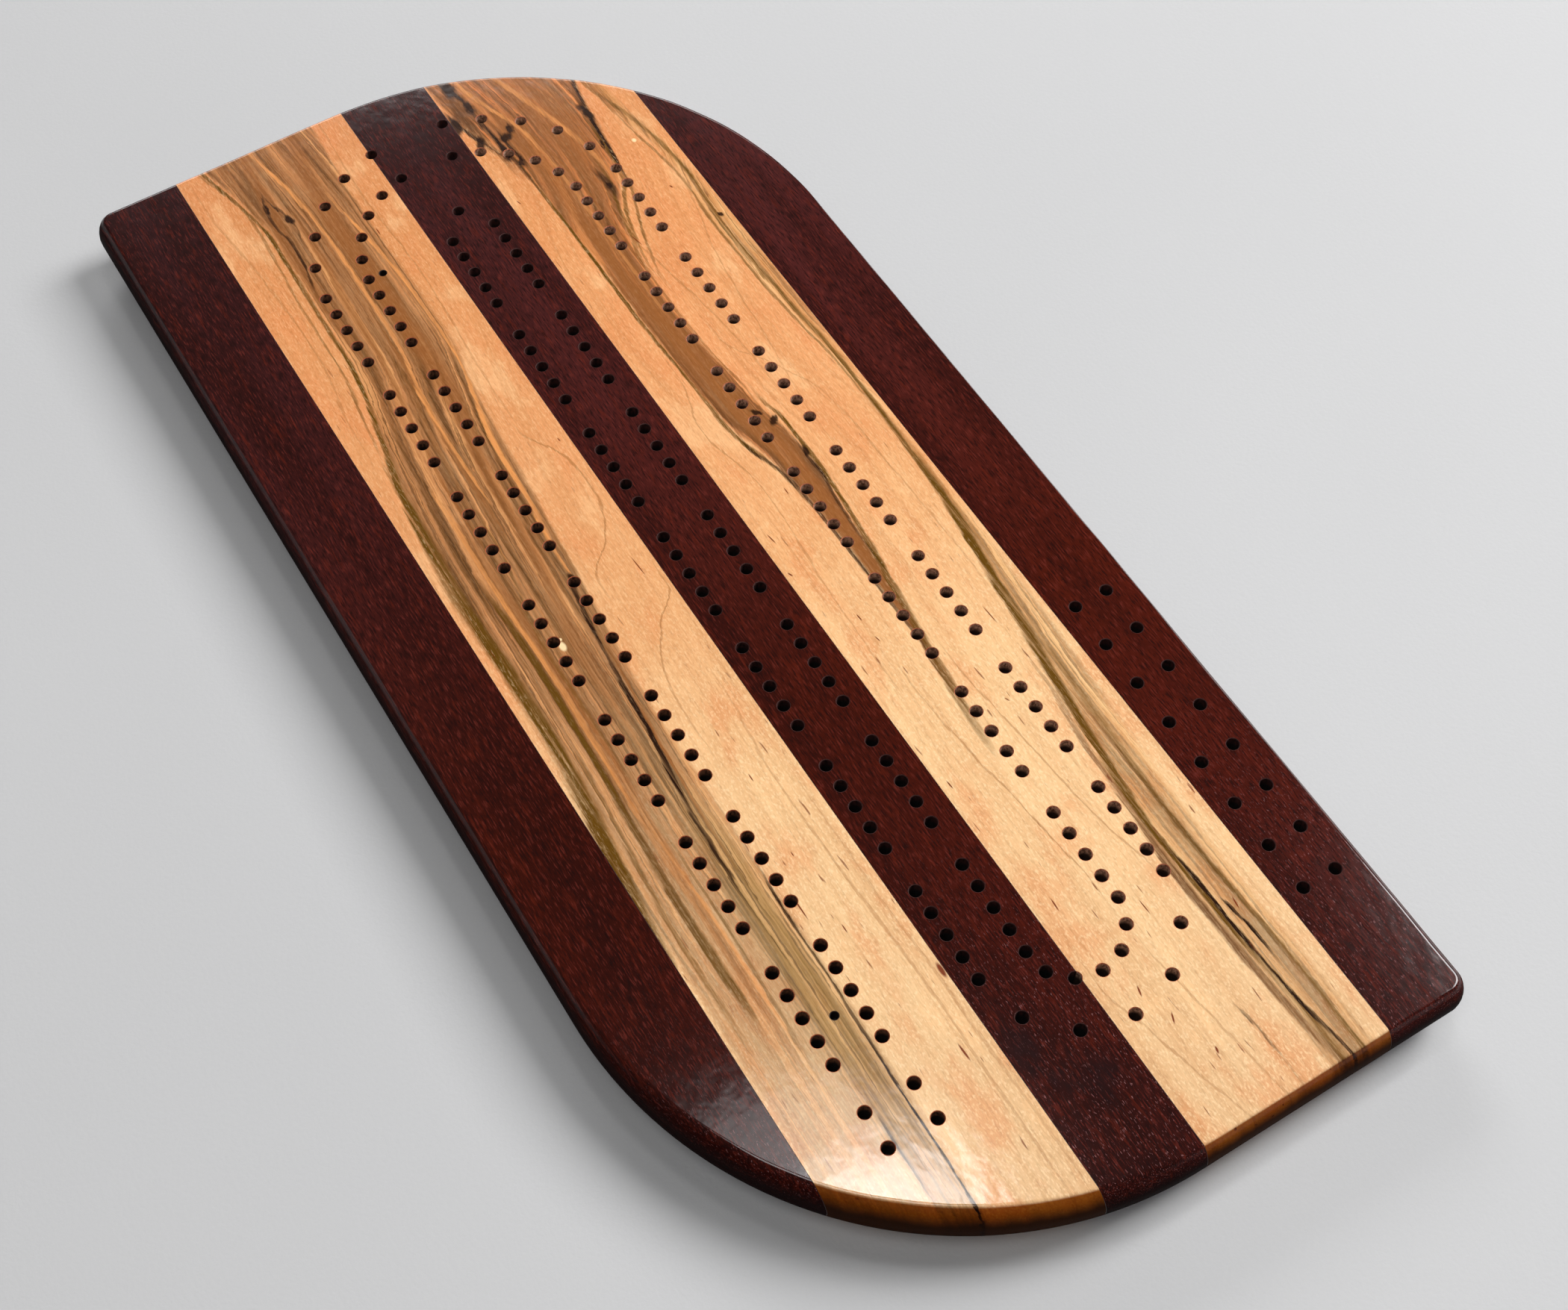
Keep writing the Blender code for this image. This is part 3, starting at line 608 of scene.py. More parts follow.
# The order that the veins are laid on in, with their least strength where the fibre breaks them
VEIN_ORDER = (("umber", 0.5), ("brown", 0.45), ("orange", 0.15), ("olive", 0.55), ("black", 0.60))
# What the maple's colour is multiplied by: in flecks, on the underside, and down the edge, where it is
# painted shade
DARK_FLECK = (0.52, 0.42, 0.32, 1.0)
UNDER_TINT = (0.80, 0.66, 0.50, 1.0)
EDGE_SHADE_TINT = (0.30, 0.125, 0.022, 1.0)


def maple(name, figure, gain):
    """Clear-finished spalted maple: pale wood, zones of stained heart, veins and marks."""
    g = Graph(name)
    place, height, across, along, fibre = wood_place(g)
    # Own tone and painted light along the board
    stops = [(where, tuple(part * gain for part in colour)) for where, colour in MAPLE_TONE_AND_PAINTED_LIGHT]
    colour = g.ramp(along, stops)

    zones = [zone(g, across, along, bounds) for bounds, tones in figure["zones"]]
    flow = flow_place(g, across, zones[0][1], along)
    broad = g.noise(flow, (160.0, 5.0, 1.0), 2.0)
    colour = g.mix(g.map(broad, 0.35, 0.75, 0.0, 0.32), colour, rgba(srgb(206, 140, 84, 0.95)))
    cloud = g.noise(place, (95.0, 42.0, 95.0), 3.0, 0.6)
    colour = g.mix(g.map(cloud, 0.48, 0.66, 0.0, 0.42), colour, rgba(srgb(220, 136, 82)))
    colour = g.mix(g.map(cloud, 0.46, 0.32, 0.0, 0.38), colour, rgba(srgb(250, 200, 146)))
    fine = g.noise(flow, (900.0, 14.0, 1.0), 3.0, 0.65)
    colour = g.mix(g.map(fine, 0.42, 0.78, 0.0, 0.34), colour, rgba(srgb(176, 112, 60, 0.95)))
    fleck = g.noise(place, (2600.0, 420.0, 2600.0), 3.0, 0.7)
    # Painted glints: pale specks where the lacquer on the fibres catches the light, stronger towards the
    # near end
    speckle = g.noise(place, (2400.0, 1100.0, 2400.0), 1.0)
    near = g.map(along, 0.58, 0.30)
    painted_glint = g.math("MULTIPLY", g.map(speckle, 0.48, 0.74), g.math("MULTIPLY_ADD", near, 0.30, 0.12))
    colour = g.mix(painted_glint, colour, rgba(srgb(255, 226, 180)))

    streaks = g.noise(flow, (430.0, 6.0, 1.0), 3.0, 0.62)
    threads = g.noise(flow, (1500.0, 10.0, 1.0), 2.0, 0.6)
    clear = 1.0
    for (inside, _), (_, tones) in zip(zones, figure["zones"]):
        clear = g.math("SUBTRACT", clear, g.math("MULTIPLY", inside, 0.85), clamp=True)
        stained = g.ramp(streaks, tones)
        thread = g.math("MULTIPLY", g.map(threads, 0.52, 0.61), 0.76)
        stained = g.mix(thread, stained, rgba(srgb(66, 40, 14)))
        colour = g.mix(g.math("MULTIPLY", inside, g.map(fibre, 0.2, 0.7, 0.7, 1.0)), colour, stained)

    for tone, least in VEIN_ORDER:
        mask = strongest(g, [vein(g, across, along, points) for points in figure["veins"][tone]])
        mask = g.math("MULTIPLY", mask, g.map(fibre, 0.25, 0.62, least, 1.15, smooth=False), clamp=True)
        colour = g.mix(mask, colour, rgba(TONES[tone]))
    faint = strongest(g, [vein(g, across, along, points) for points in figure["lines"]])
    colour = g.mix(g.math("MULTIPLY", faint, 0.75), colour, rgba(TONES["line"]))
    dashes = g.map(g.noise(place, (950.0, 120.0, 950.0), 1.0), 0.715, 0.77)
    dashes = g.math("MULTIPLY", g.math("MULTIPLY", dashes, clear), g.math("MULTIPLY_ADD", near, 0.40, 0.35))
    colour = g.mix(dashes, colour, rgba(TONES["russet"]))
    colour = g.mix(g.map(fleck, 0.50, 0.70, 0.0, 0.30), colour, g.mix(1.0, colour, DARK_FLECK, "MULTIPLY"))
    glow = g.math("MULTIPLY", g.map(fleck, 0.48, 0.32, 0.0, 0.26), clear)
    colour = g.mix(glow, colour, rgba(srgb(255, 216, 164, 0.98)))
    torn = ragged(g, place)
    for tone, spots in figure["marks"].items():
        mask = strongest(g, [mark(g, torn if tone == "black" else place, *spot) for spot in spots])
        colour = g.mix(g.math("MULTIPLY", mask, 0.95), colour, rgba(TONES[tone]))

    depth = g.math("SUBTRACT", TOP_Z, height)
    plain = g.mix(1.0, colour, UNDER_TINT, "MULTIPLY")
    # Painted shade down the edge: darker just below the face, and very dark brown further down, patchy with
    # the broad noise
    painted_edge_shade = g.mix(1.0, colour, EDGE_SHADE_TINT, "MULTIPLY")
    colour = g.mix(g.map(depth, 0.00004, 0.00040), colour, painted_edge_shade)
    edge_shade_depth = g.math("MULTIPLY_ADD", broad, 0.0030, g.math("SUBTRACT", depth, 0.0015))
    colour = g.mix(g.map(edge_shade_depth, 0.0002, 0.0040, 0.0, 0.94), colour, rgba(srgb(30, 13, 4)))
    colour = g.mix(underside(g, height), colour, plain)
    lacquer(g, colour, place, depth, fibre, fine)
    return g.material


def underside(g, height):
    """0 up the edge, rising to 1 where the lower round meets the base."""
    return g.map(height, BASE_Z + 0.0050, BASE_Z + 0.0002)


def lacquer(g, colour, place, depth, fibre, fine):
    """Lacquer over the wood, thinner down the edge, with the grain just telling through it."""
    orange_peel = g.noise(place, (260.0, 200.0, 260.0), 2.0)
    grain = g.bump(fibre, 0.00003, 0.5)
    coat = g.bump(orange_peel, 0.00006, 0.5)
    g.set(
        Base_Color=colour,
        Roughness=g.map(fine, 0.3, 0.7, 0.42, 0.60),
        Normal=grain,
        Coat_Weight=g.map(depth, 0.00005, 0.0016, 1.0, 0.06),
        Coat_Roughness=0.09,
        Specular_IOR_Level=0.0,
        Coat_Normal=coat,
    )


DARK_ALONG = (
    (0.03, srgb(44, 12, 9)),
    (0.20, srgb(58, 14, 6)),
    (0.38, srgb(60, 15, 5)),
    (0.52, srgb(63, 20, 14)),
    (0.66, srgb(64, 24, 22)),
    (0.97, srgb(54, 23, 24)),
)


# Smoky patches: (x, y, half width, half length, lean in degrees)
SMOKE = (
    (-8.0, 178.0, 13.0, 6.0, -8), (2.0, 158.0, 16.0, 4.5, -32), (-5.0, -152.0, 7.0, 15.0, 18),
    (5.0, -165.0, 7.0, 13.0, 15), (5.0, 165.0, 6.0, 3.5, 0),
)


def dark_wood(name, gain, seed):
    """Deep red-brown wood with short open pores, maroon at the far end and redder near."""
    g = Graph(name)
    here, height, _, along, fibre = wood_place(g)
    colour = g.ramp(along, [(where, tuple(part * gain for part in tone)) for where, tone in DARK_ALONG])
    place = g.vector("ADD", here, (seed, seed, 0.0))
    broad = g.noise(place, (90.0, 8.0, 90.0), 3.0)
    colour = g.mix(g.map(broad, 0.38, 0.64, 0.0, 0.6), colour, rgba(srgb(36, 8, 5)))
    figure = g.noise(place, (900.0, 90.0, 900.0), 3.0, 0.65)
    colour = g.mix(g.map(figure, 0.50, 0.72, 0.0, 0.45), colour, rgba(srgb(96, 30, 14)))
    pores = g.noise(place, (2700.0, 300.0, 2700.0), 2.0, 0.6)
    colour = g.mix(g.map(pores, 0.50, 0.66, 0.0, 0.70), colour, rgba(srgb(24, 7, 6)))
    colour = g.mix(g.map(pores, 0.46, 0.30, 0.0, 0.45), colour, rgba(srgb(112, 46, 38)))
    # Painted glints: pale pink specks where the pores catch the light, towards the near end
    dust_and_glint = g.noise(place, (4600.0, 800.0, 4600.0), 1.0)
    near = g.map(along, 0.30, 0.06)
    painted_glints = g.math("MULTIPLY", g.map(dust_and_glint, 0.66, 0.72), near)
    colour = g.mix(g.math("MULTIPLY", painted_glints, 0.7), colour, rgba(srgb(150, 104, 104)))

    smoke = g.noise(place, (130.0, 60.0, 130.0), 4.0, 0.65)
    smoky = strongest(g, [mark(g, here, *band) for band in SMOKE])
    smoky = g.math("MULTIPLY", smoky, g.map(smoke, 0.42, 0.60))
    colour = g.mix(g.math("MULTIPLY", smoky, 0.7), colour, rgba(srgb(30, 14, 15)))

    depth = g.math("SUBTRACT", TOP_Z, height)
    plain = colour
    # Painted shade: the edge darkens with depth below the face
    colour = g.mix(g.map(depth, 0.0004, 0.0048, 0.0, 0.90), colour, rgba(srgb(16, 5, 5)))
    colour = g.mix(underside(g, height), colour, plain)
    lacquer(g, colour, here, depth, fibre, pores)
    return g.material


# A bore's tones: its rubbed rim, its torn grain where light and where dark, and the painted shade deep in
# the hole
# The two maple sets are darker and lighter copies of one wood: painted shade in the left strip's holes,
# painted light in the right strip's
SHADED_LEFT_BORE_TONES = (srgb(178, 84, 40), srgb(150, 104, 76), srgb(52, 30, 20), srgb(28, 16, 11))
LIT_RIGHT_BORE_TONES = (srgb(178, 84, 40), srgb(222, 180, 152), srgb(104, 70, 52), srgb(52, 32, 22))
DARK_BORE_TONES = (srgb(60, 20, 14), srgb(78, 34, 28), srgb(22, 9, 8), srgb(12, 6, 5))
PIN_TONES = (srgb(40, 20, 12), srgb(28, 15, 10), srgb(16, 9, 6), srgb(10, 6, 4))


def bore_wood(name, tones):
    """The bare wall of a drilled hole: torn grain at the mouth, with painted shade further down."""
    rim, light, dark, painted_deep_shade = tones
    g = Graph(name)
    place = g.node("TexCoord").outputs["Object"]
    split = g.node("SeparateXYZ")
    g.feed(split.inputs[0], place)
    depth = g.math("SUBTRACT", TOP_Z, split.outputs[2])
    torn = g.noise(place, (1700.0, 1700.0, 900.0), 3.0, 0.7)
    colour = g.ramp(torn, ((0.38, dark), (0.60, light)))
    uneven = g.math("MULTIPLY_ADD", torn, 0.002, depth)
    # Painted shade: the wall darkens deeper down the hole
    colour = g.mix(g.map(uneven, 0.0026, 0.0046), colour, rgba(painted_deep_shade))
    colour = g.mix(g.map(depth, 0.00030, 0.00012, 0.0, 0.8), colour, rgba(rim))
    g.set(Base_Color=colour, Roughness=g.map(torn, 0.3, 0.7, 0.55, 0.85), Normal=g.bump(torn, 0.00015))
    return g.material


def store_wood():
    """The bare routed wood of the peg store, with the cutter's faint loops."""
    g = Graph("routed_wood")
    place = g.node("TexCoord").outputs["Object"]
    loops = g.noise(place, (700.0, 2400.0, 700.0), 2.0)
    grain = g.noise(place, (1500.0, 60.0, 1500.0), 3.0)
    colour = g.ramp(grain, ((0.3, srgb(70, 30, 20)), (0.7, srgb(112, 56, 38))))
    g.set(Base_Color=colour, Roughness=g.map(loops, 0.3, 0.7, 0.6, 0.8), Normal=g.bump(loops, 0.0001))
    return g.material


# A metal's fine marks: their noise scale, and their depth in metres
BRUSHED = ((4000.0, 60.0, 4000.0), 0.00001)
TURNED = ((300.0, 5000.0, 300.0), 0.000002)
PLATED = ((900.0, 900.0, 2500.0), 0.000004)


def metal(name, colour, worn, roughness, marks):
    """Brushed, turned or plated metal, with patches of tarnish."""
    stroke, bite = marks
    g = Graph(name)
    place = g.node("TexCoord").outputs["Object"]
    strokes = g.noise(place, stroke, 3.0, 0.6)
    tarnish = g.noise(place, (130.0, 130.0, 130.0), 4.0, 0.6)
    tone = g.mix(g.map(tarnish, 0.4, 0.7, 0.0, 0.7), rgba(colour), rgba(worn))
    g.set(
        Base_Color=tone,
        Metallic=1.0,
        Roughness=g.map(strokes, 0.3, 0.7, roughness, roughness + 0.18),
        Normal=g.bump(strokes, bite, 0.6),
    )
    return g.material


def rubber():
    g = Graph("foot_rubber")
    place = g.node("TexCoord").outputs["Object"]
    grit = g.noise(place, (3000.0, 3000.0, 3000.0), 2.0)
    dust_and_glint = g.noise(place, (250.0, 250.0, 250.0), 3.0)
    colour = g.mix(g.map(dust_and_glint, 0.5, 0.75), rgba(srgb(24, 24, 25)), rgba(srgb(52, 50, 48)))
    g.set(Base_Color=colour, Roughness=g.map(dust_and_glint, 0.3, 0.7, 0.6, 0.8), Normal=g.bump(grit, 0.00005))
    return g.material


def glue():
    g = Graph("glue_line")
    place = g.node("TexCoord").outputs["Object"]
    beads = g.noise(place, (500.0, 200.0, 500.0), 2.0)
    colour = g.ramp(beads, ((0.3, srgb(20, 7, 5)), (0.7, srgb(44, 18, 10))))
    g.set(Base_Color=colour, Roughness=g.map(beads, 0.3, 0.7, 0.35, 0.5), Normal=g.bump(beads, 0.00003))
    return g.material


# ---------------------------------------------------------------- mesh helpers


def arc(centre_x, centre_y, radius, start, end, steps):
    points = []
    for step in range(steps + 1):
        angle = math.radians(start + (end - start) * step / steps)
        points.append((centre_x + radius * math.cos(angle), centre_y + radius * math.sin(angle)))
    return points


def outline(inset):
    """The board's outline moved inwards by inset, with points all along its straights."""
    half_x = HALF_WIDTH - inset
    half_y = HALF_LENGTH - inset
    big = BIG_CORNER - inset
    small = max(SMALL_CORNER - inset, SOFTEST_CORNER)
    corners = (
        (half_x - big, half_y - big, big, 0, BIG_STEPS, SHORT_RUN),
        (-half_x + small, half_y - small, small, 90, SMALL_STEPS, LONG_RUN),
        (-half_x + big, -half_y + big, big, 180, BIG_STEPS, SHORT_RUN),
        (half_x - small, -half_y + small, small, 270, SMALL_STEPS, LONG_RUN),
    )
    arcs = [arc(x, y, radius, start, start + 90, steps) for x, y, radius, start, steps, run in corners]
    points = []
    for i, corner in enumerate(corners):
        points += arcs[i]
        first = arcs[i][-1]
        last = arcs[(i + 1) % 4][0]
        run = corner[5]
        for step in range(1, run):
            share = step / run
            x = first[0] + (last[0] - first[0]) * share
            y = first[1] + (last[1] - first[1]) * share
            points.append((x, y))
    return points


def edge_profile():
    """(inset, height, share of the crease's wander) up the edge, from base to playing face."""
    widest = TOP_Z - ROUND_DROP
    rows = []
    for x, z in arc(BOTTOM_ROUND, BASE_Z + BOTTOM_ROUND, BOTTOM_ROUND, 270, 180, 12):
        rows.append((x, z, 0.0))
    top_angle = math.asin((ROUND_DROP - 0.25 * CREASE_SOFT) / ROUND_RISE)
    steps = 14
    for step in range(1, steps + 1):
        share = step / steps
        angle = top_angle * share
        inset = ROUND_REACH * (1 - math.cos(angle))
        rows.append((inset, widest + ROUND_RISE * math.sin(angle), share * share))
    inset, height, _ = rows[-1]
    rise = TOP_Z - height
    for step in range(1, CREASE_STEPS + 1):
        share = step / CREASE_STEPS
        rows.append((inset + CREASE_SOFT * share, height + rise * share * (2 - share), 1.0))
    return rows


def board_blank(shrink=0.0):
    """The whole board as one closed loft, with the hand-sanded wander of its crease.

    It is smaller all round by shrink.
    """
    bm = bmesh.new()
    rings = []
    inwards = 0.001
    for inset, height, wander in edge_profile():
        ring = []
        base = outline(inset + shrink)
        inner = outline(inset + shrink + inwards)
        for (x, y), (inner_x, inner_y) in zip(base, inner):
            wave = noise.noise(Vector((x * COARSE_WAVE, y * COARSE_WAVE, 3.0)))
            wave += 0.4 * noise.noise(Vector((x * FINE_WAVE, y * FINE_WAVE, 7.0)))
            from_corner = math.hypot(x + HALF_WIDTH, y + HALF_LENGTH)
            ease = ARC_EASE * max(0.0, 1 - (from_corner / ARC_EASE_REACH) ** 4)
            crisp = FAR_CRISP * min(1.0, max(0.0, x / HALF_WIDTH + y / HALF_LENGTH))
            push = wander * (CREASE_WANDER * (wave + 0.3) + ease - crisp) / inwards
            z = height - shrink if height > TOP_Z - ROUND_DROP else height + shrink
            ring.append(bm.verts.new((x + (inner_x - x) * push, y + (inner_y - y) * push, z)))
        rings.append(ring)
    skin(bm, rings)
    return bm


def keep_between(bm, low_x, high_x):
    """Cuts the solid to the slab between two X planes and closes the cuts."""
    for x, side in ((low_x, -1.0), (high_x, 1.0)):
        if x is None:
            continue
        cut = bmesh.ops.bisect_plane(
            bm,
            geom=bm.verts[:] + bm.edges[:] + bm.faces[:],
            dist=1e-7,
            plane_co=(x, 0.0, 0.0),
            plane_no=(side, 0.0, 0.0),
            clear_outer=True,
        )
        edges = [item for item in cut["geom_cut"] if isinstance(item, bmesh.types.BMEdge)]
        bmesh.ops.contextual_create(bm, geom=edges)
    bmesh.ops.recalc_face_normals(bm, faces=bm.faces)


def skin(bm, rings):
    """Faces between each ring of points and the next, and across the first and the last."""
    for low, high in zip(rings, rings[1:]):
        for i, vert in enumerate(low):
            j = (i + 1) % len(low)
            bm.faces.new((vert, low[j], high[j], high[i]))
    bm.faces.new(list(reversed(rings[0])))
    bm.faces.new(rings[-1])


def object_from(bm, name, materials):
    mesh = bpy.data.meshes.new(name)
    bm.to_mesh(mesh)
    bm.free()
    for material in materials:
        mesh.materials.append(material)
    obj = bpy.data.objects.new(name, mesh)
    bpy.context.scene.collection.objects.link(obj)
    return obj


def lathe(bm, rows, sides, matrix=Matrix(), slot=0):
    """A closed solid of revolution about Z: rows of (radius, height) from its top to its base."""
    rings = []
    for radius, height in rows:
        if radius == 0.0:
            rings.append([bm.verts.new(matrix @ Vector((0.0, 0.0, height)))])
            continue
        ring = []
        for side in range(sides):
            angle = 2 * math.pi * side / sides
            point = Vector((radius * math.cos(angle), radius * math.sin(angle), height))
            ring.append(bm.verts.new(matrix @ point))
        rings.append(ring)
    for high, low in zip(rings, rings[1:]):
        for side in range(sides):
            corners = []
            for ring, step in ((high, 0), (low, 0), (low, 1), (high, 1)):
                vert = ring[(side + step) % len(ring)]
                if vert not in corners:
                    corners.append(vert)
            bm.faces.new(corners).material_index = slot


def applied(obj, *cutters):
    """The object with the cutters taken out of it, and the cutters removed."""
    for cutter in cutters:
        modifier = obj.modifiers.new(cutter.name, "BOOLEAN")
        modifier.operation = "DIFFERENCE"
        modifier.solver = "EXACT"
        modifier.object = cutter
    graph = bpy.context.evaluated_depsgraph_get()
    mesh = bpy.data.meshes.new_from_object(obj.evaluated_get(graph), depsgraph=graph)
    obj.modifiers.clear()
    old = obj.data
    obj.data = mesh
    bpy.data.meshes.remove(old)
    for cutter in cutters:
        bpy.data.objects.remove(cutter, do_unlink=True)
    return obj


def smooth(obj, angle):
    """Smooth shading that breaks at sharp edges and leaves level faces truly flat."""
    obj.data.shade_smooth()
    obj.data.set_sharp_from_angle(angle=math.radians(angle))
    for face in obj.data.polygons:
        if abs(face.normal.z) > 0.99999:
            face.use_smooth = False


def piece(obj, node, body, angle=30.0):
    """Hands a finished mesh over: it stands for its CAD node and rides on its body."""
    smooth(obj, angle)
    obj.data.name = obj.name
    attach(obj, body)
    if node:
        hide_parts(node)
    return obj


# ---------------------------------------------------------------- pieces


def column_ends():
    half = (GROUPS * GROUP_PITCHES - 2) * PITCH / 2
    return TRACK_CENTRE_Y - half, TRACK_CENTRE_Y + half


def hole_places():
    """Every scoring, start, finish and games hole, as in the CAD part."""
    near_y, far_y = column_ends()
    holes = []
    for x in COLUMNS:
        for group in range(GROUPS):
            for place in range(GROUP_HOLES):
                holes.append((x, near_y + (group * GROUP_PITCHES + place) * PITCH))
    for radius in FAR_ARC_RADII:
        for step in range(1, FAR_ARC_HALF + 1):
            for side in (-1, 1):
                angle = math.radians(90 + side * step * FAR_ARC_STEP)
                holes.append((radius * math.cos(angle), far_y - FAR_ARC_DROP + radius * math.sin(angle)))
    for radius in NEAR_ARC_RADII:
        for step in range(1, GROUP_HOLES + 1):
            angle = math.radians(180 + step * NEAR_ARC_STEP)
            holes.append((NEAR_ARC_X + radius * math.cos(angle), near_y + radius * math.sin(angle)))
    holes.append((0.0, far_y + FINISH_RISE))
    for x in COLUMNS[:2]:
        for drop in START_DROPS:
            holes.append((x, near_y - drop))
    for x in GAMES_COLUMNS:
        for row in range(GAMES_ROWS):
            holes.append((x, GAMES_NEAR_Y + row * GAMES_PITCH))
    return holes


def add_drill(bm, x, y, radius, depth, slot):
    """A drill with its rubbed rim and pointed tip, standing past the playing face."""
    rows = (
        (0.0, TOP_Z + CUTTER_PAST),
        (radius + RIM + CUTTER_PAST, TOP_Z + CUTTER_PAST),
        (radius, TOP_Z - RIM),
        (radius, TOP_Z - depth),
        (0.0, TOP_Z - depth - DRILL_TIP),
    )
    lathe(bm, rows, HOLE_SIDES, Matrix.Translation((x, y, 0.0)), slot)


def drills(low_x, high_x):
    bm = bmesh.new()
    reach = HOLE_RADIUS + 2 * RIM
    for x, y in hole_places():
        if low_x - reach < x < high_x + reach:
            add_drill(bm, x, y, HOLE_RADIUS, HOLE_DEPTH, BORE_SLOT)
    for x, y in PIN_SPOTS:
        if low_x < x < high_x:
            add_drill(bm, x, y, PIN_RADIUS, PIN_DEPTH, PIN_SLOT)
    bmesh.ops.recalc_face_normals(bm, faces=bm.faces)
    return object_from(bm, "drills", [None] * SLOT_COUNT)


def store_cutter():
    """The routed pocket with its round corners, and the pilot hole of the cover's screw."""
    bm = bmesh.new()
    half_x = STORE_WIDTH / 2 - STORE_CORNER
    half_y = STORE_LENGTH / 2 - STORE_CORNER
    points = []
    for side_x, side_y, start in ((1, 1, 0), (-1, 1, 90), (-1, -1, 180), (1, -1, 270)):
        points += arc(STORE_X + side_x * half_x, side_y * half_y, STORE_CORNER, start, start + 90, 10)
    mouth = BASE_Z - CUTTER_PAST
    skin(bm, [[bm.verts.new((x, y, z)) for x, y in points] for z in (mouth, BASE_Z + STORE_DEPTH)])
    rows = ((0.0, BASE_Z + PILOT_DEPTH), (PILOT_RADIUS, BASE_Z + PILOT_DEPTH))
    rows += ((PILOT_RADIUS, mouth), (0.0, mouth))
    lathe(bm, rows, 24, Matrix.Translation((STORE_X, PIVOT_Y, 0.0)))
    for face in bm.faces:
        face.material_index = STORE_SLOT
    bmesh.ops.recalc_face_normals(bm, faces=bm.faces)
    return object_from(bm, "store_cutter", [None] * SLOT_COUNT)


def joints_between():
    """The X of each glue line, midway between the strips that meet there."""
    names = [strip[0] for strip in STRIPS]
    return [(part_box(a)[1].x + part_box(b)[0].x) / 2 for a, b in zip(names, names[1:])]


def strips(materials):
    lines = joints_between()
    for i, (name, face, wall, slot) in enumerate(STRIPS):
        low_x = lines[i - 1] + SEAM / 2 if i else None
        high_x = lines[i] - SEAM / 2 if i < len(lines) else None
        bm = board_blank()
        keep_between(bm, low_x, high_x)
        slots = [materials[face], materials[wall], materials["store"], materials["pin"]]
        strip = object_from(bm, name + "_fine", slots)
        cutters = [drills(low_x or -HALF_WIDTH, high_x or HALF_WIDTH)]
        if name == "centre_strip":
            cutters.append(store_cutter())
        applied(strip, *cutters)
        piece(strip, name, "board", 20.0)


def glue_lines(material):
    """The dark film of glue in each joint, a hair below the faces it joins."""
    for i, x in enumerate(joints_between()):
        bm = board_blank(GLUE_SINK)
        keep_between(bm, x - SEAM / 2, x + SEAM / 2)
        film = object_from(bm, f"glue_line_{i + 1}", [material])
        cutters = [drills(x, x)]
        if not cutters[0].data.vertices:
            bpy.data.objects.remove(cutters.pop(), do_unlink=True)
        applied(film, *cutters)
        piece(film, None, "board")


def turned(name, rows, sides, matrix, material):
    bm = bmesh.new()
    lathe(bm, rows, sides, matrix)
    bmesh.ops.recalc_face_normals(bm, faces=bm.faces)
    return object_from(bm, name, [material])


def rounded(rows, radius, steps=4):
    """A turned profile with each corner between its two ends rounded off."""
    out = [rows[0]]
    for before, here, after in zip(rows, rows[1:], rows[2:]):
        a, b, c = Vector(before), Vector(here), Vector(after)
        reach = min(radius, (a - b).length / 2.2, (c - b).length / 2.2)
        start = b + (a - b).normalized() * reach
        end = b + (c - b).normalized() * reach
        for step in range(steps + 1):
            t = step / steps
            point = start * (1 - t) ** 2 + b * 2 * t * (1 - t) + end * t ** 2
            out.append(tuple(point))
    out.append(rows[-1])
    return out


def feet(material):
    for name in ("foot_far_left", "foot_far_right", "foot_near_left", "foot_near_right"):
        low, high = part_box(name)
        centre = (low + high) / 2
        radius = (high.x - low.x) / 2
        rows = (
            (0.0, BASE_Z),
            (radius, BASE_Z),
            (radius, BASE_Z - 0.0009),
            (radius - 0.00135, 0.0),
            (radius - 0.0034, 0.0),
            (radius - 0.0038, 0.0004),
            (0.0, 0.0004),
        )
        place = Matrix.Translation((centre.x, centre.y, 0.0))
        foot = turned(name + "_fine", rounded(rows, 0.0006), 64, place, material)
        piece(foot, name, "board")


def store_cover(material):
    """The brass plate: round ends, a pivot hole, a thumb dish, and edges just broken."""
    low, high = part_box("store_cover")
    half_x = (high.x - low.x) / 2
    bm = bmesh.new()
    rim = 0.00015
    rows = ((rim, low.z), (0.0, low.z + rim), (0.0, high.z - rim), (rim, high.z))
    rings = []
    for inset, z in rows:
        radius = half_x - inset
        points = arc(STORE_X, high.y - half_x, radius, 0, 180, 40)
        points += arc(STORE_X, low.y + half_x, radius, 180, 360, 40)
        rings.append([bm.verts.new((x, y, z)) for x, y in points])
    skin(bm, rings)
    bmesh.ops.recalc_face_normals(bm, faces=bm.faces)
    plate = object_from(bm, "store_cover_fine", [material])
    top = high.z + 0.001
    base = low.z - 0.001
    rows = ((0.0, top), (PILOT_RADIUS, top), (PILOT_RADIUS, base), (0.0, base))
    hole = turned("pivot_hole", rows, 40, Matrix.Translation((STORE_X, PIVOT_Y, 0.0)), material)
    ball = 0.016
    dish_depth = 0.00035
    bm = bmesh.new()
    centre = Matrix.Translation((STORE_X, low.y + half_x, low.z - ball + dish_depth))
    bmesh.ops.create_uvsphere(bm, u_segments=64, v_segments=160, radius=ball, matrix=centre)
    dish = object_from(bm, "dish", [material])
    applied(plate, hole, dish)
    piece(plate, "store_cover", "cover", 20.0)


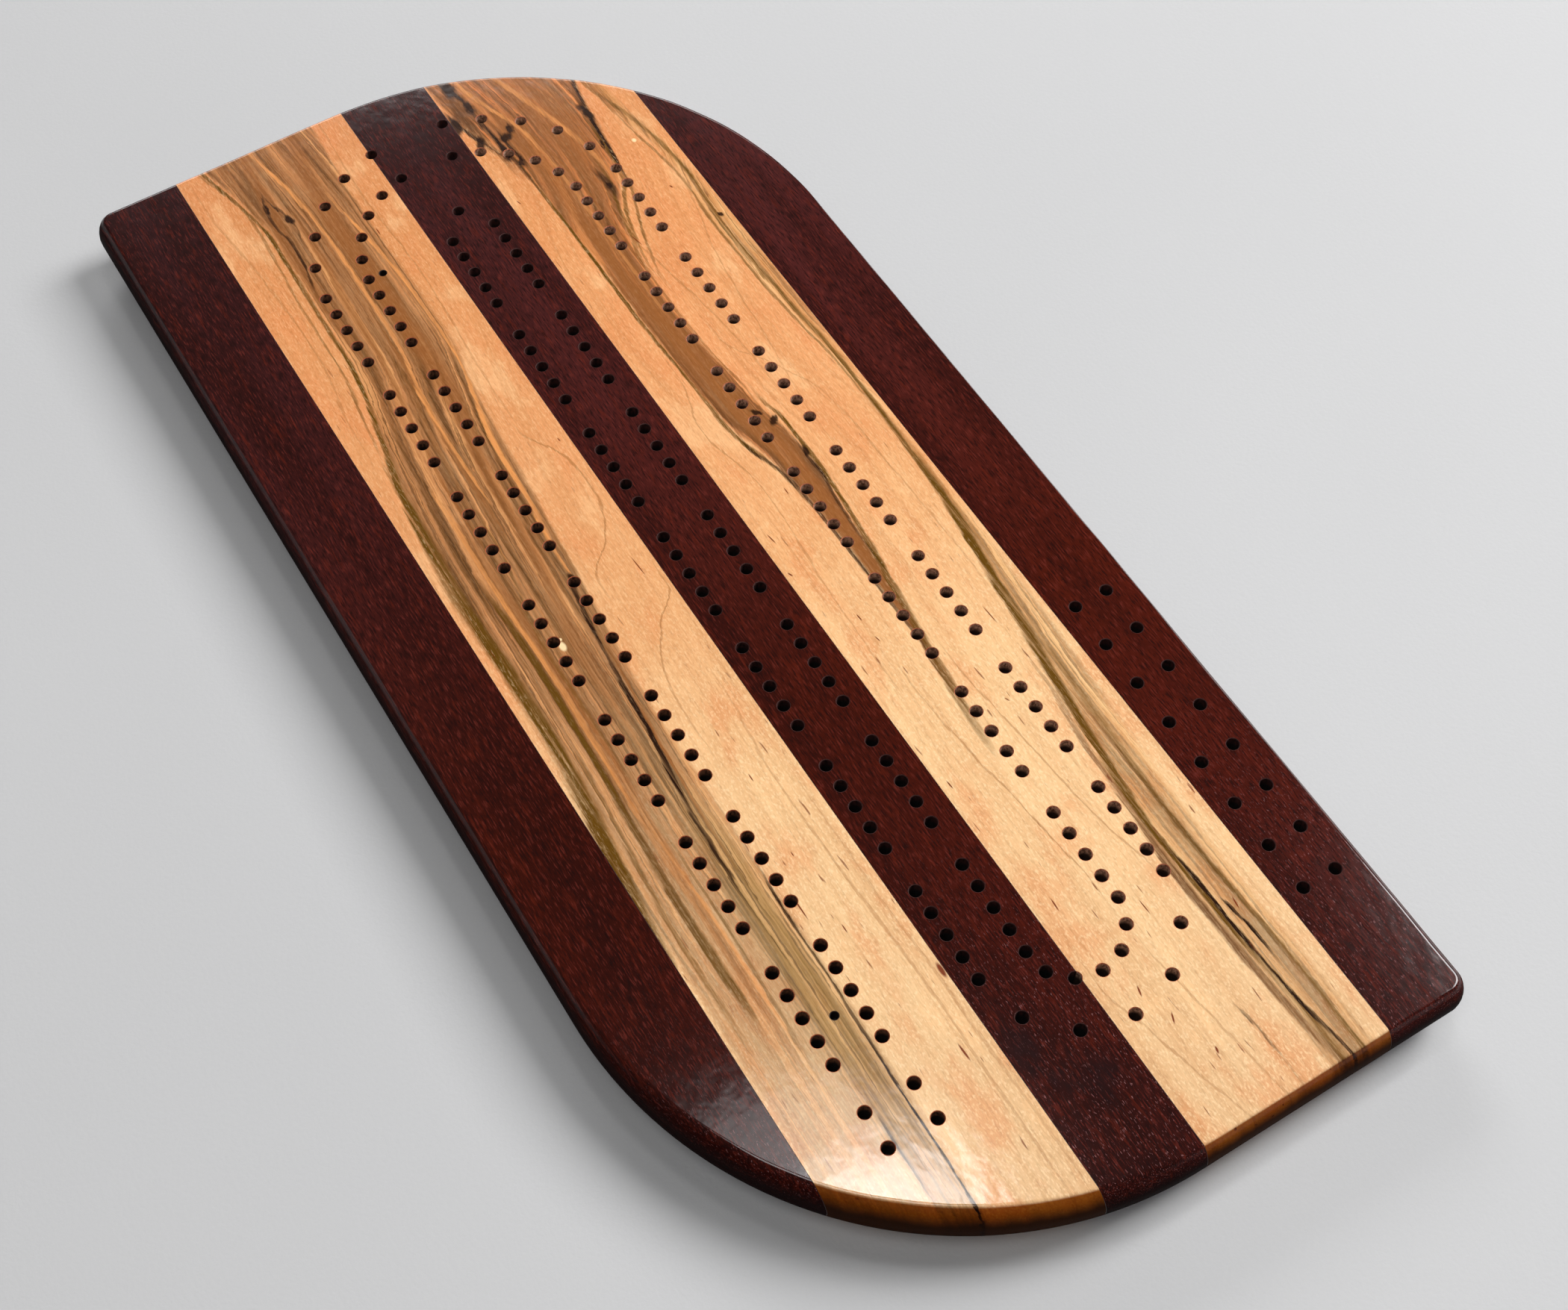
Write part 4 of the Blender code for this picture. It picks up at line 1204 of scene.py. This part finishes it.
def cover_screw(material):
    """A pan-head screw with a cross recess in its head, which faces down."""
    low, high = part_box("cover_screw")
    head = 0.0030
    shank = 0.0015
    root = shank - 0.0003
    pitch = 0.0006
    head_top = low.z + 0.0010
    rows = [(0.0, high.z), (0.0006, high.z - 0.0003), (shank, high.z - 0.0022)]
    z = high.z - 0.0024
    while z > head_top + 0.0012:
        rows.append((root, z - pitch * 0.2))
        rows.append((shank, z - pitch * 0.6))
        z -= pitch
    rows += [(shank, head_top), (head, head_top), (head - 0.0001, low.z + 0.0005), (head - 0.0007, low.z)]
    rows += [(0.0, low.z)]
    place = Matrix.Translation((STORE_X, PIVOT_Y, 0.0))
    screw = turned("cover_screw_fine", rows, 48, place, material)
    # Each slot of the cross is cut on its own, because one cutter that crosses itself cuts nothing
    for turn in (0.5, 0.5 + math.pi / 2):
        blade = place @ Matrix.Translation((0.0, 0.0, low.z)) @ Matrix.Rotation(turn, 4, "Z")
        shape = Matrix.Diagonal((0.0030, 0.0006, 0.0012, 1.0))
        bm = bmesh.new()
        bmesh.ops.create_cube(bm, size=1.0, matrix=blade @ shape)
        applied(screw, object_from(bm, "recess", [material]))
    piece(screw, "cover_screw", "board", 32.0)


def pegs(materials):
    """Turned metal pegs, each lying where its CAD peg lies."""
    for kind in ("brass", "steel"):
        for place in range(3):
            name = f"peg_{kind}_{place + 1}"
            low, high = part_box(name)
            centre = (low + high) / 2
            length = high.y - low.y
            head = (high.z - low.z) / 2
            turn = 1 if place % 2 else -1
            rows = [(0.0, length)]
            crown = 0.0018
            steps = 6
            for step in range(1, steps + 1):
                angle = math.radians(90 * step / steps)
                rows.append((head * math.sin(angle), length - crown * (1 - math.cos(angle))))
            rows += [(head, length - 0.0030), (0.0013, length - 0.0046), (0.0012, length - 0.0060)]
            rows += [(0.0012, length - 0.0090), (0.0020, length - 0.0100), (0.0020, length - 0.0112)]
            rows += [(0.0015, length - 0.0120), (0.0013, 0.0010), (0.0010, 0.0003)]
            rows += [(0.0006, 0.0), (0.0, 0.0)]
            lie = Matrix.Translation((centre.x, centre.y + turn * length / 2, centre.z))
            lie = lie @ Matrix.Rotation(math.radians(90 * turn), 4, "X")
            peg = turned(name + "_fine", rows, 48, lie, materials["peg_" + kind])
            piece(peg, name, "board", 35.0)


# ---------------------------------------------------------------- stage

WALL_TONE = (0.42, 0.42, 0.43, 1.0)
CEILING_TONE = (0.06, 0.06, 0.06, 1.0)


def floor():
    """A pale floor that fades, far out, into the walls."""
    g = Graph("studio_floor")
    place = g.node("TexCoord").outputs["Object"]
    cloud = g.noise(place, (2.5, 2.5, 2.5), 3.0)
    tooth = g.noise(place, (900.0, 900.0, 900.0), 2.0)
    colour = g.ramp(cloud, ((0.3, (0.50, 0.50, 0.505)), (0.7, (0.54, 0.54, 0.545))))
    g.set(Base_Color=colour, Roughness=g.map(tooth, 0.3, 0.7, 0.75, 0.9), Normal=g.bump(tooth, 0.00005))
    fade = g.map(g.vector("LENGTH", place), 1.0, 3.6)
    g.set(Emission_Color=WALL_TONE, Emission_Strength=fade)
    bm = bmesh.new()
    bmesh.ops.create_circle(bm, cap_ends=True, segments=96, radius=6.0)
    object_from(bm, "studio_floor", [g.material])


def area_light(name, place, size, watts, disc=False):
    """A white light that faces the board."""
    light = bpy.data.lights.new(name, "AREA")
    light.shape = "DISK" if disc else "RECTANGLE"
    light.size = size[0]
    light.size_y = size[1]
    light.energy = watts
    obj = bpy.data.objects.new(name, light)
    obj.location = place
    obj.rotation_mode = "QUATERNION"
    obj.rotation_quaternion = Vector(place).to_track_quat("Z", "Y")
    bpy.context.scene.collection.objects.link(obj)


def lights():
    area_light("overhead_disc", (0.174, 0.105, 1.2), (0.155, 0.155), 0.62, disc=True)
    area_light("overhead_hot_spot", (0.150, 0.125, 1.19), (0.07, 0.07), 0.10, disc=True)
    area_light("overhead_halo", (0.128, 0.138, 1.21), (0.26, 0.26), 0.50, disc=True)
    area_light("key_softbox", (1.45, -0.1, 1.55), (0.9, 1.1), 44.0)
    area_light("near_softbox", (-0.6, -0.45, 2.2), (1.0, 1.0), 14.0)
    area_light("far_softbox", (0.7, 2.0, 1.3), (1.2, 0.8), 20.0)


def studio_world():
    """Pale walls round the floor, fading into a dark ceiling."""
    world = bpy.data.worlds.new("studio")
    bpy.context.scene.world = world
    world.use_nodes = True
    nodes = world.node_tree.nodes
    links = world.node_tree.links
    place = nodes.new("ShaderNodeTexCoord")
    split = nodes.new("ShaderNodeSeparateXYZ")
    ramp = nodes.new("ShaderNodeValToRGB")
    low, high = ramp.color_ramp.elements
    low.position = 0.08
    low.color = WALL_TONE
    high.position = 0.34
    high.color = CEILING_TONE
    links.new(place.outputs["Generated"], split.inputs[0])
    links.new(split.outputs[2], ramp.inputs[0])
    links.new(ramp.outputs[0], nodes["Background"].inputs["Color"])


def camera():
    """The photograph's view: from the near left, looking steeply down, on a 52 mm lens."""
    data = bpy.data.cameras.new("camera")
    data.sensor_width = 36.0
    data.lens = 52.36
    data.clip_start = 0.01
    obj = bpy.data.objects.new("camera", data)
    heading = Matrix.Rotation(math.radians(-30.91), 4, "Z")
    tilt = Matrix.Rotation(math.radians(31.42), 4, "X")
    roll = Matrix.Rotation(math.radians(-0.77), 4, "Z")
    obj.matrix_world = Matrix.Translation((-0.1461, -0.2794, TOP_Z + 0.4692)) @ heading @ tilt @ roll
    bpy.context.scene.collection.objects.link(obj)
    bpy.context.scene.camera = obj


def main():
    camera()
    materials = {
        "left_dark": dark_wood("left_dark_hardwood", 0.80, 0.3),
        "centre_dark": dark_wood("centre_dark_hardwood", 1.10, 0.0),
        "right_dark": dark_wood("right_dark_hardwood", 1.35, 0.7),
        "left_maple": maple("left_spalted_maple", LEFT_FIGURE, 0.92),
        "right_maple": maple("right_spalted_maple", RIGHT_FIGURE, 0.95),
        # Maple bores: the left strip's carry painted shade, the right strip's painted light
        "left_bore": bore_wood("left_maple_bore_shaded", SHADED_LEFT_BORE_TONES),
        "right_bore": bore_wood("right_maple_bore_lit", LIT_RIGHT_BORE_TONES),
        "dark_bore": bore_wood("dark_wood_bore", DARK_BORE_TONES),
        "pin": bore_wood("pin_hole", PIN_TONES),
        "store": store_wood(),
        "brass": metal("brushed_brass", (0.72, 0.50, 0.20), (0.50, 0.31, 0.12), 0.22, BRUSHED),
        "peg_brass": metal("turned_brass", (0.78, 0.56, 0.24), (0.58, 0.38, 0.16), 0.14, TURNED),
        "peg_steel": metal("turned_steel", (0.66, 0.66, 0.68), (0.48, 0.48, 0.50), 0.14, TURNED),
        "screw_steel": metal("plated_steel", (0.64, 0.64, 0.66), (0.45, 0.45, 0.46), 0.20, PLATED),
        "rubber": rubber(),
        "glue": glue(),
    }
    strips(materials)
    glue_lines(materials["glue"])
    feet(materials["rubber"])
    store_cover(materials["brass"])
    cover_screw(materials["screw_steel"])
    pegs(materials)
    floor()
    lights()
    studio_world()
    bpy.context.scene.view_settings.view_transform = "Standard"


main()
